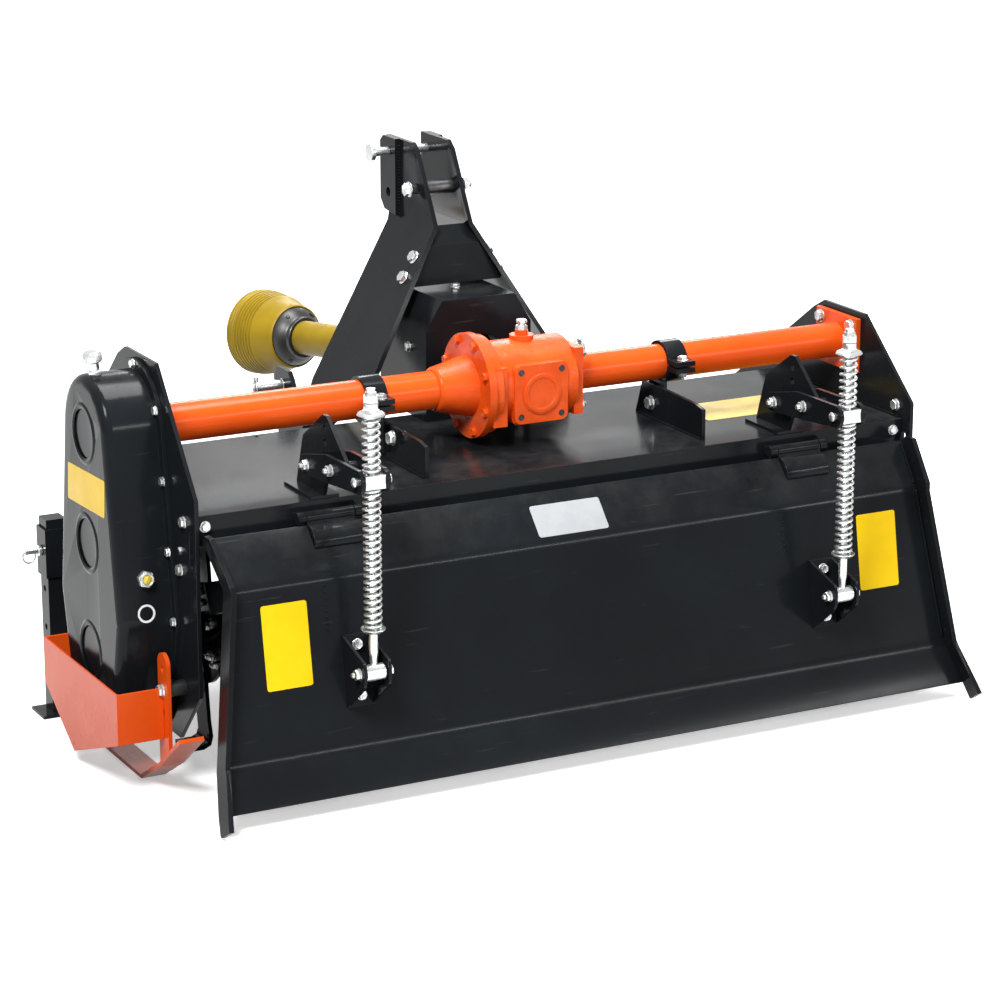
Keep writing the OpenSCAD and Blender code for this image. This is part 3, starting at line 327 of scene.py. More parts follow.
@dataclass(frozen=True)
class Finish:
    """A surface finish: its tones, gloss and relief."""

    name: str
    slot: str
    colour: tuple[int, int, int]
    second: tuple[int, int, int]
    roughness: float
    spread: float = 0.08
    metallic: float = 0.0
    specular: float = 0.5
    coat: float = 0.0
    mottle_scale: float = 5.0
    grain_scale: float = 320.0
    grain_depth: float = 0.00008
    swell: float = 0.6
    scuff: float = 0.0
    scuff_colour: tuple[int, int, int] = (150, 150, 150)
    dust: float = 0.0
    dust_colour: tuple[int, int, int] = (176, 170, 160)
    coat_roughness: float = 0.12

    def material(self) -> bpy.types.Material:
        """Give the material, building it on its first use.

        Returns:
            The node material.
        """
        known = bpy.data.materials.get(self.name)
        if known:
            return known
        mat = bpy.data.materials.new(self.name)
        mat.use_nodes = True
        tree = mat.node_tree
        shader = tree.nodes["Principled BSDF"]
        shader.inputs["Metallic"].default_value = self.metallic
        shader.inputs["Specular IOR Level"].default_value = self.specular
        shader.inputs["Coat Weight"].default_value = self.coat
        shader.inputs["Coat Roughness"].default_value = self.coat_roughness
        tone = self.group(tree, Effect.MOTTLE, Scale=self.mottle_scale)
        tone.inputs["Colour"].default_value = srgb(*self.colour)
        tone.inputs["Second"].default_value = srgb(*self.second)
        colour = tone.outputs["Colour"]
        if self.scuff:
            mask = self.group(tree, Effect.SCUFF).outputs["Mask"]
            colour = self.over(tree, colour, self.scuff_colour, mask, self.scuff)
        if self.dust:
            mask = self.group(tree, Effect.DUST).outputs["Mask"]
            colour = self.over(tree, colour, self.dust_colour, mask, self.dust)
        tree.links.new(colour, shader.inputs["Base Color"])
        gloss = tree.nodes.new("ShaderNodeMapRange")
        gloss.inputs["To Min"].default_value = self.roughness - self.spread
        gloss.inputs["To Max"].default_value = self.roughness + self.spread
        tree.links.new(tone.outputs["Cloud"], gloss.inputs["Value"])
        tree.links.new(gloss.outputs["Result"], shader.inputs["Roughness"])
        relief = self.group(tree, Effect.GRAIN, Scale=self.grain_scale, Swell=self.swell)
        bump = tree.nodes.new("ShaderNodeBump")
        bump.inputs["Distance"].default_value = self.grain_depth
        tree.links.new(relief.outputs["Height"], bump.inputs["Height"])
        tree.links.new(bump.outputs["Normal"], shader.inputs["Normal"])
        return mat

    @staticmethod
    def group(tree: bpy.types.NodeTree, effect: Effect, **values: float) -> bpy.types.Node:
        """Place a shared group in a material.

        Args:
            tree: The material's nodes.
            effect: The group.
            **values: Numbers for its inputs.

        Returns:
            The group node.
        """
        node = tree.nodes.new("ShaderNodeGroup")
        node.node_tree = EFFECTS.get(effect)
        for name, value in values.items():
            node.inputs[name].default_value = value
        return node

    @staticmethod
    def over(tree: bpy.types.NodeTree, colour: bpy.types.NodeSocket, top: tuple[int, int, int],
             mask: bpy.types.NodeSocket, share: float) -> bpy.types.NodeSocket:
        """Lay a colour over another where a mask says.

        Args:
            tree: The material's nodes.
            colour: The colour below.
            top: The colour on top.
            mask: Where it lies.
            share: How strongly it covers.

        Returns:
            The mixed colour's socket.
        """
        weak = EffectShop.maths(tree, "MULTIPLY", mask, share)
        mix = tree.nodes.new("ShaderNodeMix")
        mix.data_type = "RGBA"
        mix.inputs["B"].default_value = srgb(*top)
        tree.links.new(weak, mix.inputs["Factor"])
        tree.links.new(colour, mix.inputs["A"])
        return mix.outputs["Result"]


CHARCOAL = Finish(
    "charcoal_gloss_paint", "charcoal_paint", (24, 27, 30), (18, 20, 23), roughness=0.17, spread=0.03,
    specular=0.08, mottle_scale=4.0, grain_scale=260.0, grain_depth=0.00005,
    scuff=0.06, scuff_colour=(122, 127, 131), dust=0.04)
ORANGE = Finish(
    "orange_gloss_paint", "orange_paint", (222, 83, 22), (212, 75, 18), roughness=0.24, spread=0.05,
    specular=0.12, mottle_scale=5.0, grain_scale=240.0, grain_depth=0.00006,
    scuff=0.04, scuff_colour=(250, 150, 96), dust=0.05)
CAST_ORANGE = Finish(
    "orange_paint_on_casting", "orange_paint", (224, 84, 22), (208, 72, 17), roughness=0.30, spread=0.08,
    specular=0.16, mottle_scale=16.0, grain_scale=420.0, grain_depth=0.0005, swell=1.4,
    dust=0.05)
ZINC = Finish(
    "bright_zinc_plating", "zinc", (208, 211, 210), (182, 185, 184), roughness=0.28, spread=0.10,
    metallic=0.85, mottle_scale=60.0, grain_scale=700.0, grain_depth=0.00004)
STEEL = Finish(
    "forged_dark_steel", "steel", (86, 86, 87), (62, 62, 63), roughness=0.42, spread=0.10, metallic=1.0,
    mottle_scale=30.0, grain_scale=500.0, grain_depth=0.0001)
GUARD = Finish(
    "yellow_guard_plastic", "guard_yellow", (152, 126, 24), (136, 112, 19), roughness=0.42, spread=0.06,
    specular=0.2, mottle_scale=10.0, grain_scale=420.0, grain_depth=0.00007)
COLLAR = Finish(
    "black_collar_plastic", "collar_black", (26, 26, 27), (20, 20, 21), roughness=0.40, spread=0.06,
    mottle_scale=14.0, grain_scale=420.0, grain_depth=0.00008)
# Black rubber for the skid sleeves. The same black also paints the shade inside the gearbox cover's blind
# holes.
BLACK = Finish(
    "black_bush_rubber", "collar_black", (22, 22, 23), (17, 17, 18), roughness=0.55, spread=0.06,
    mottle_scale=20.0, grain_scale=500.0, grain_depth=0.0001)
BRASS = Finish(
    "sight_glass_amber", "zinc", (214, 190, 62), (190, 160, 40), roughness=0.16, spread=0.04, coat=0.6,
    mottle_scale=80.0, grain_scale=300.0, grain_depth=0.00003)
SIGN = Finish(
    "blank_yellow_film", "guard_yellow", (242, 200, 16), (236, 193, 10), roughness=0.32, spread=0.04,
    specular=0.15, mottle_scale=18.0, grain_scale=200.0, grain_depth=0.00003)
FADED = Finish(
    "blank_dull_yellow_film", "guard_yellow", (204, 178, 52), (190, 164, 42), roughness=0.40, spread=0.05,
    specular=0.2, mottle_scale=14.0, grain_scale=200.0, grain_depth=0.00003, dust=0.2)
SILVER = Finish(
    "blank_silver_plate", "zinc", (172, 175, 177), (160, 163, 166), roughness=0.34, spread=0.05,
    metallic=0.35, mottle_scale=24.0, grain_scale=300.0, grain_depth=0.00002)
WHITE = Finish(
    "blank_white_film", "zinc", (226, 227, 226), (216, 217, 216), roughness=0.34, spread=0.04,
    mottle_scale=24.0, grain_scale=200.0, grain_depth=0.00002)


@dataclass(frozen=True)
class Spot:
    """A place for a copy of a piece: a point, the way its Z axis looks and a turn about it."""

    place: Vector
    facing: Vector
    roll: float = 0.0

    def matrix(self) -> Matrix:
        """Give the matrix that brings a piece from the origin to the spot.

        Returns:
            The matrix.
        """
        turn = self.facing.to_track_quat("Z", "Y").to_matrix().to_4x4()
        return Matrix.Translation(self.place) @ turn @ Matrix.Rotation(math.radians(self.roll), 4, "Z")


class Pick(Enum):
    """What is selected in a mesh, by Blender's name of the select mode."""

    FACE = "FACE"
    EDGE = "EDGE"


class Bench:
    """Hand tools: thin wrappers round Blender's own operators."""

    MERGE = 0.00001
    FINE_MERGE = 0.000005

    @staticmethod
    def clear() -> None:
        """Leave edit mode and deselect everything."""
        if bpy.context.mode != "OBJECT":
            bpy.ops.object.mode_set(mode="OBJECT")
        bpy.ops.object.select_all(action="DESELECT")

    @staticmethod
    def take(*objs: bpy.types.Object) -> bpy.types.Object:
        """Select only these objects.

        Args:
            *objs: The objects; the first becomes active.

        Returns:
            The active object.
        """
        Bench.clear()
        for obj in objs:
            obj.select_set(True)
        bpy.context.view_layer.objects.active = objs[0]
        return objs[0]

    @staticmethod
    @contextmanager
    def editing(obj: bpy.types.Object) -> Iterator[bpy.types.Object]:
        """Hold one object in edit mode.

        Args:
            obj: The object to edit.

        Yields:
            The object.
        """
        Bench.take(obj)
        bpy.ops.object.mode_set(mode="EDIT")
        yield obj
        bpy.ops.object.mode_set(mode="OBJECT")

    @staticmethod
    def pick(obj: bpy.types.Object, kind: Pick, test: Callable[[Vector, Vector], bool]) -> None:
        """Select faces by centre and normal, or edges by their two ends, in edit mode.

        Args:
            obj: The object in edit mode.
            kind: What is selected.
            test: Says from the two vectors whether an item is picked.
        """
        bpy.ops.mesh.select_mode(type=kind.value)
        bpy.ops.mesh.select_all(action="DESELECT")
        shape = bmesh.from_edit_mesh(obj.data)
        if kind is Pick.FACE:
            chosen = [f for f in shape.faces if test(f.calc_center_median(), f.normal)]
        else:
            chosen = [e for e in shape.edges if test(e.verts[0].co, e.verts[1].co)]
        for item in chosen:
            item.select_set(True)
        shape.select_flush_mode()
        bmesh.update_edit_mesh(obj.data)

    @staticmethod
    def face_out() -> None:
        """Select the whole mesh in edit mode and turn its faces outwards."""
        bpy.ops.mesh.select_all(action="SELECT")
        bpy.ops.mesh.normals_make_consistent(inside=False)

    @staticmethod
    def drum(name: str, d: float, h: float, sides: int = 24, base: float = 0.0) -> bpy.types.Object:
        """Add an upright drum that stands on a base height.

        Args:
            name: The object's name.
            d: Diameter in millimetres.
            h: Height in millimetres.
            sides: Number of sides.
            base: Height of its lower face in millimetres.

        Returns:
            The new object.
        """
        Bench.clear()
        bpy.ops.mesh.primitive_cylinder_add(
            vertices=sides, radius=d / 2 * MM, depth=h * MM, location=(0, 0, (base + h / 2) * MM))
        bpy.ops.object.transform_apply(location=True, rotation=True, scale=True)
        bpy.context.object.name = name
        return bpy.context.object

    @staticmethod
    def block(name: str, low: Vector, high: Vector, edge: float = 0.6) -> bpy.types.Object:
        """Add a block between two corners with softened edges.

        Args:
            name: The object's name.
            low: Its lowest corner, in metres.
            high: Its highest corner, in metres.
            edge: Width of the softened edges in millimetres.

        Returns:
            The new object.
        """
        Bench.clear()
        bpy.ops.mesh.primitive_cube_add(size=1.0, location=(low + high) / 2, scale=high - low)
        bpy.ops.object.transform_apply(location=True, rotation=True, scale=True)
        obj = bpy.context.object
        obj.name = name
        with Bench.editing(obj):
            bpy.ops.mesh.select_all(action="SELECT")
            bpy.ops.mesh.bevel(offset=edge * MM, segments=2, affect="EDGES")
        return obj

    @staticmethod
    def line(name: str, points: Sequence[Vector]) -> bpy.types.Object:
        """Draw a chain of edges, extruded point by point.

        Args:
            name: The object's name.
            points: The points, in metres.

        Returns:
            The new object, still without faces.
        """
        Bench.clear()
        bpy.ops.mesh.primitive_plane_add(size=MM, location=(0, 0, 0))
        obj = bpy.context.object
        obj.name = name
        with Bench.editing(obj):
            bpy.ops.mesh.select_mode(type="VERT")
            bpy.ops.mesh.select_all(action="SELECT")
            bpy.ops.mesh.merge(type="CENTER")
            bpy.ops.transform.translate(value=points[0])
            for before, after in zip(points, points[1:]):
                bpy.ops.mesh.extrude_vertices_move(TRANSFORM_OT_translate={"value": after - before})
        return obj

    @staticmethod
    def lathe(name: str, profile: Sequence[tuple[float, float]], steps: int = 32) -> bpy.types.Object:
        """Turn a profile about the Z axis.

        Args:
            name: The object's name.
            profile: Radius and height of each point, in millimetres.
            steps: Number of steps round the axis.

        Returns:
            The turned object.
        """
        obj = Bench.line(name, [Vector((r * MM, 0, z * MM)) for r, z in profile])
        with Bench.editing(obj):
            bpy.ops.mesh.select_all(action="SELECT")
            bpy.ops.mesh.spin(steps=steps, angle=2 * math.pi, center=(0, 0, 0), axis=(0, 0, 1))
            bpy.ops.mesh.select_all(action="SELECT")
            bpy.ops.mesh.remove_doubles(threshold=Bench.MERGE)
            Bench.face_out()
        return obj

    @staticmethod
    def plate(name: str, outline: Sequence[tuple[float, float]], thick: float, edge: float = 0.5,
              base: float = 0.0) -> bpy.types.Object:
        """Cut a flat plate to an outline, lying on the XY plane.

        Args:
            name: The object's name.
            outline: Its corners in order, in millimetres.
            thick: Its thickness in millimetres.
            edge: Width of its softened edges in millimetres, or 0.
            base: Height of its lower face in millimetres.

        Returns:
            The plate.
        """
        obj = Bench.line(name, [Vector((x * MM, y * MM, base * MM)) for x, y in outline])
        with Bench.editing(obj):
            bpy.ops.mesh.select_all(action="SELECT")
            bpy.ops.mesh.edge_face_add()
            bpy.ops.mesh.extrude_region_move(TRANSFORM_OT_translate={"value": (0, 0, thick * MM)})
            Bench.face_out()
            if edge:
                bpy.ops.mesh.bevel(offset=edge * MM, segments=2, affect="EDGES")
        return obj

    @staticmethod
    def wire(name: str, points: Sequence[Vector], d: float, sides: int = 8,
             ring: bool = False) -> bpy.types.Object:
        """Bend a round wire along points.

        Args:
            name: The object's name.
            points: The points of its middle line, in metres.
            d: Its diameter in millimetres.
            sides: Sides of its cross section, a multiple of 4.
            ring: Whether its ends meet.

        Returns:
            The wire as a mesh.
        """
        curve = bpy.data.curves.new(name, "CURVE")
        curve.dimensions = "3D"
        curve.bevel_depth = d / 2 * MM
        curve.bevel_resolution = max(0, sides // 4 - 1) * 2
        curve.use_fill_caps = not ring
        spline = curve.splines.new("POLY")
        spline.points.add(len(points) - 1)
        for knot, point in zip(spline.points, points):
            knot.co = (*point, 1.0)
        spline.use_cyclic_u = ring
        obj = bpy.data.objects.new(name, curve)
        bpy.context.scene.collection.objects.link(obj)
        Bench.take(obj)
        bpy.ops.object.convert(target="MESH")
        with Bench.editing(obj):
            bpy.ops.mesh.select_all(action="SELECT")
            bpy.ops.mesh.remove_doubles(threshold=Bench.FINE_MERGE)
            Bench.face_out()
        return obj

    @staticmethod
    def soften(obj: bpy.types.Object, width: float, segments: int = 2,
               angle: float = 35.0) -> bpy.types.Object:
        """Round the sharp edges of a piece with an applied bevel.

        Args:
            obj: The piece.
            width: Width of the round in millimetres.
            segments: Facets across the round.
            angle: Edges sharper than this many degrees are rounded.

        Returns:
            The piece.
        """
        Bench.take(obj)
        bevel = obj.modifiers.new("soften", "BEVEL")
        bevel.width = width * MM
        bevel.segments = segments
        bevel.limit_method = "ANGLE"
        bevel.angle_limit = math.radians(angle)
        bpy.ops.object.modifier_apply(modifier=bevel.name)
        return obj

    @staticmethod
    def move(obj: bpy.types.Object, spot: Spot) -> bpy.types.Object:
        """Bring a piece made at the origin to its spot, in its mesh.

        Args:
            obj: The piece.
            spot: Where it goes.

        Returns:
            The piece.
        """
        obj.data.transform(spot.matrix())
        obj.data.update()
        return obj

    @staticmethod
    def stamp(pattern: bpy.types.Object, spots: Iterable[Spot]) -> list[bpy.types.Object]:
        """Copy a piece to several spots, each copy with its own mesh.

        Args:
            pattern: The piece, made at the origin.
            spots: Where the copies go.

        Returns:
            The copies.
        """
        copies = []
        for spot in spots:
            twin = pattern.copy()
            twin.data = pattern.data.copy()
            bpy.context.scene.collection.objects.link(twin)
            copies.append(Bench.move(twin, spot))
        return copies

    @staticmethod
    def join(name: str, parts: Sequence[bpy.types.Object]) -> bpy.types.Object:
        """Join pieces into one object.

        Args:
            name: The joined object's name.
            parts: The pieces.

        Returns:
            The joined object.
        """
        Bench.take(*parts)
        if len(parts) > 1:
            bpy.ops.object.join()
        obj = bpy.context.view_layer.objects.active
        obj.name = name
        return obj

    @staticmethod
    def drop(*objs: bpy.types.Object) -> None:
        """Remove patterns that are no longer needed.

        Args:
            *objs: The patterns.
        """
        for obj in objs:
            bpy.data.objects.remove(obj)

    @staticmethod
    def spread(name: str, pattern: bpy.types.Object, spots: Iterable[Spot]) -> bpy.types.Object:
        """Copy a pattern to several spots as one object, and remove the pattern.

        Args:
            name: The object's name.
            pattern: The piece, made at the origin.
            spots: Where the copies go.

        Returns:
            The joined copies.
        """
        whole = Bench.join(name, Bench.stamp(pattern, spots))
        Bench.drop(pattern)
        return whole

    @staticmethod
    def dress(obj: bpy.types.Object, finish: Finish, body: str, *stands_for: str,
              angle: float = 32.0) -> bpy.types.Object:
        """Give a finished piece its shading, finish and body.

        Args:
            obj: The piece.
            finish: Its finish.
            body: The CAD body that it rides on.
            *stands_for: CAD nodes that it replaces.
            angle: Edges sharper than this many degrees stay crisp.

        Returns:
            The piece.
        """
        Bench.take(obj)
        bpy.ops.object.shade_smooth_by_angle(angle=math.radians(angle))
        obj.data.materials.clear()
        obj.data.materials.append(finish.material())
        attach(obj, body)
        if stands_for:
            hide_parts(*stands_for)
        LOG.info("%s: %d faces on %s", obj.name, len(obj.data.polygons), body)
        return obj


@dataclass
class Skin:
    """Finishes and softened edges of the CAD nodes that stay in view."""

    weld: float = 0.02
    flat: float = 0.4
    bend: float = 33.0
    edge: float = 0.8
    weight: int = 80
    cast: tuple[str, ...] = ("gear_case", "gearbox")
    finishes: dict[str, Finish] = field(default_factory=lambda: {
        "charcoal_paint": CHARCOAL, "orange_paint": ORANGE, "zinc": ZINC, "steel": STEEL,
        "guard_yellow": GUARD, "collar_black": COLLAR,
    })
    rounds: dict[str, float] = field(default_factory=lambda: {
        "gear_case": 2.0, "gearbox": 3.0, "tailgate_sheet": 1.2, "deck": 1.5, "rotor": 0.8,
        "side_plate_left": 1.0, "side_plate_right": 1.0, "case_guard": 1.2,
    })

    def build(self) -> None:
        """Dress every CAD node."""
        for name, node in frame["nodes"].items():
            slot = node.material_slots[0].name.split(".")[0]
            finish = CAST_ORANGE if name == "gearbox" else self.finishes[slot]
            self.dress(node, finish, self.rounds.get(name, self.edge))

    def dress(self, node: bpy.types.Object, finish: Finish, edge: float) -> None:
        """Give one CAD node its finish and modifiers that round its edges.

        Args:
            node: The CAD node's object.
            finish: Its finish.
            edge: Width of the rounds in millimetres.
        """
        Bench.take(node)
        bpy.ops.mesh.customdata_custom_splitnormals_clear()
        bpy.ops.object.shade_smooth()
        for slot in node.material_slots:
            slot.material = finish.material()
        merge = node.modifiers.new("merge", "WELD")
        merge.merge_threshold = self.weld * MM
        if node.name.split(".")[0] not in self.cast:
            flat = node.modifiers.new("flat", "DECIMATE")
            flat.decimate_type = "DISSOLVE"
            flat.angle_limit = math.radians(self.flat)
        bevel = node.modifiers.new("soften", "BEVEL")
        bevel.width = edge * MM
        bevel.segments = 2
        bevel.limit_method = "ANGLE"
        bevel.angle_limit = math.radians(self.bend)
        even = node.modifiers.new("even", "WEIGHTED_NORMAL")
        even.weight = self.weight
        LOG.info("%s: %s", node.name, finish.name)


class Fastener(Enum):
    """Kinds of small fastener."""

    BOLT = "hex_bolt"
    NUT = "nut_on_stud"
    DOME = "dome_head"


@dataclass
class Hardware:
    """Fasteners, films and weld runs, each pattern modelled once and copied where it is needed."""

    washer: float = 0.18
    rim: float = 2.15
    across: float = 1.84
    chamfer: float = 0.11
    dish: tuple[float, float] = (0.12, 0.03)
    bolt_high: float = 0.64
    nut_high: float = 0.8
    roll: float = 23.0
    made: dict[tuple[Fastener, float], bpy.types.Object] = field(default_factory=dict)

    def pattern(self, kind: Fastener, size: float) -> bpy.types.Object:
        """Give a fastener's pattern, modelling it on its first use.

        Args:
            kind: The kind of fastener.
            size: Its thread in millimetres.

        Returns:
            The pattern at the origin, looking up.
        """
        if (kind, size) not in self.made:
            builders = {Fastener.BOLT: self.bolt, Fastener.NUT: self.nut, Fastener.DOME: self.dome}
            self.made[kind, size] = builders[kind](size)
        return self.made[kind, size]

    def hexagon(self, name: str, size: float, height: float, base: float) -> bpy.types.Object:
        """Cut a hexagon head with a chamfered rim and a shallow dished top.

        Args:
            name: The object's name.
            size: The thread that the head suits, in millimetres.
            height: Height of the head.
            base: Height of its lower face.

        Returns:
            The head.
        """
        head = Bench.drum(name, size * self.across, height, 6, base)
        top = (base + height) * MM - 1e-6
        with Bench.editing(head):
            Bench.pick(head, Pick.EDGE, lambda a, b: a.z > top and b.z > top)
            bpy.ops.mesh.bevel(offset=size * self.chamfer * MM, segments=2, affect="EDGES")
            Bench.pick(head, Pick.FACE, lambda c, n: n.z > 0.99)
            bpy.ops.mesh.inset(thickness=size * self.dish[0] * MM, depth=-size * self.dish[1] * MM)
        return head

    def disc(self, size: float) -> bpy.types.Object:
        """Make the washer under a head, with a softened rim.

        Args:
            size: The thread in millimetres.

        Returns:
            The washer.
        """
        disc = Bench.drum("washer", size * self.rim, size * self.washer, 16)
        return Bench.soften(disc, size * 0.05, 1, 60.0)

    def bolt(self, size: float) -> bpy.types.Object:
        """Make a hexagon bolt head on a washer.

        Args:
            size: The thread in millimetres.

        Returns:
            The pattern.
        """
        head = self.hexagon("head", size, size * self.bolt_high, size * self.washer)
        return Bench.join(f"hex_bolt_{size:g}", [head, self.disc(size)])

    def nut(self, size: float) -> bpy.types.Object:
        """Make a nut on a washer with the threaded end of its stud.

        Args:
            size: The thread in millimetres.

        Returns:
            The pattern.
        """
        nut = self.hexagon("nut", size, size * self.nut_high, size * self.washer)
        crests = [(0.5 if n % 2 else 0.43, 0.9 + 0.07 * n) for n in range(9)]
        crests += [(0.36, 1.52), (0.0, 1.52)]
        stud = Bench.lathe("stud", [(r * size, z * size) for r, z in crests], 14)
        return Bench.join(f"nut_{size:g}", [nut, self.disc(size), stud])

    @staticmethod
    def dome(size: float) -> bpy.types.Object:
        """Make the round head of a carriage bolt.

        Args:
            size: The thread in millimetres.

        Returns:
            The pattern.
        """
        curve = [(1.05, 0.0), (1.05, 0.1), (0.95, 0.25), (0.72, 0.4), (0.4, 0.49), (0.0, 0.52)]
        return Bench.lathe(f"dome_{size:g}", [(r * size, z * size) for r, z in curve], 20)

    def fit(self, name: str, kind: Fastener, size: float, spots: Sequence[Spot], finish: Finish = ZINC,
            body: str = "frame") -> bpy.types.Object:
        """Copy a fastener to its spots as one piece.

        Args:
            name: The piece's name.
            kind: The kind of fastener.
            size: Its thread in millimetres.
            spots: Where the copies go.
            finish: Their finish.
            body: The body that they ride on.

        Returns:
            The piece.
        """
        turned = [Spot(s.place, s.facing, s.roll + self.roll * n) for n, s in enumerate(spots)]
        return Bench.dress(Bench.join(name, Bench.stamp(self.pattern(kind, size), turned)), finish, body)

    @staticmethod
    def run(name: str, start: Vector, end: Vector, size: float = 6.0, gap: float = 0.55) -> bpy.types.Object:
        """Lay a run of weld scallops between two points.

        Args:
            name: The object's name.
            start: First point, in metres.
            end: Last point, in metres.
            size: Width of the run in millimetres.
            gap: Distance of the scallops as a share of the width.

        Returns:
            The run.
        """
        Bench.clear()
        bpy.ops.mesh.primitive_uv_sphere_add(segments=8, ring_count=5, radius=size / 2 * MM)
        bead = bpy.context.object
        bead.name = name
        with Bench.editing(bead):
            bpy.ops.mesh.select_all(action="SELECT")
            bpy.ops.transform.resize(value=(0.6, 1.0, 0.8))
        row = bead.modifiers.new("run", "ARRAY")
        row.use_relative_offset = False
        row.use_constant_offset = True
        row.constant_offset_displace = (size * gap * MM, 0.0, 0.0)
        row.count = max(2, int((end - start).length / (size * gap * MM)))
        bpy.ops.object.modifier_apply(modifier=row.name)
        turn = (end - start).to_track_quat("X", "Z").to_matrix().to_4x4()
        bead.data.transform(Matrix.Translation(start) @ turn)
        return bead

    def weld(self, name: str, seams: Iterable[tuple[Vector, Vector]], size: float,
             finish: Finish = CHARCOAL, gap: float = 0.55) -> bpy.types.Object:
        """Lay several runs of weld on the frame as one piece.

        Args:
            name: The piece's name.
            seams: First and last point of each run, in metres.
            size: Width of the runs in millimetres.
            finish: Their finish.
            gap: Distance of the scallops as a share of the width.

        Returns:
            The piece.
        """
        runs = [self.run("run", start, end, size, gap) for start, end in seams]
        return Bench.dress(Bench.join(name, runs), finish, "frame")

    @staticmethod
    def film(name: str, corners: Sequence[Vector], lift: float = 0.5, curve: float = 5.0) -> bpy.types.Object:
        """Lay a thin film with rounded corners and a raised rim on a flat face.

        Args:
            name: The object's name.
            corners: Its corners in metres, anticlockwise seen from outside.
            lift: Its thickness in millimetres.
            curve: Radius of its corners in millimetres.

        Returns:
            The film.
        """
        film = Bench.line(name, list(corners))
        out = (corners[1] - corners[0]).cross(corners[2] - corners[1]).normalized()
        with Bench.editing(film):
            bpy.ops.mesh.select_all(action="SELECT")
            bpy.ops.mesh.edge_face_add()
            bpy.ops.mesh.bevel(offset=curve * MM, segments=4, affect="VERTICES")
            bpy.ops.mesh.select_all(action="SELECT")
            bpy.ops.mesh.extrude_region_move(TRANSFORM_OT_translate={"value": out * lift * MM})
            bpy.ops.mesh.inset(thickness=2.2 * MM, depth=-lift * 0.4 * MM)
            Bench.face_out()
        return film

    def clear(self) -> None:
        """Remove the patterns."""
        Bench.drop(*self.made.values())
        self.made.clear()


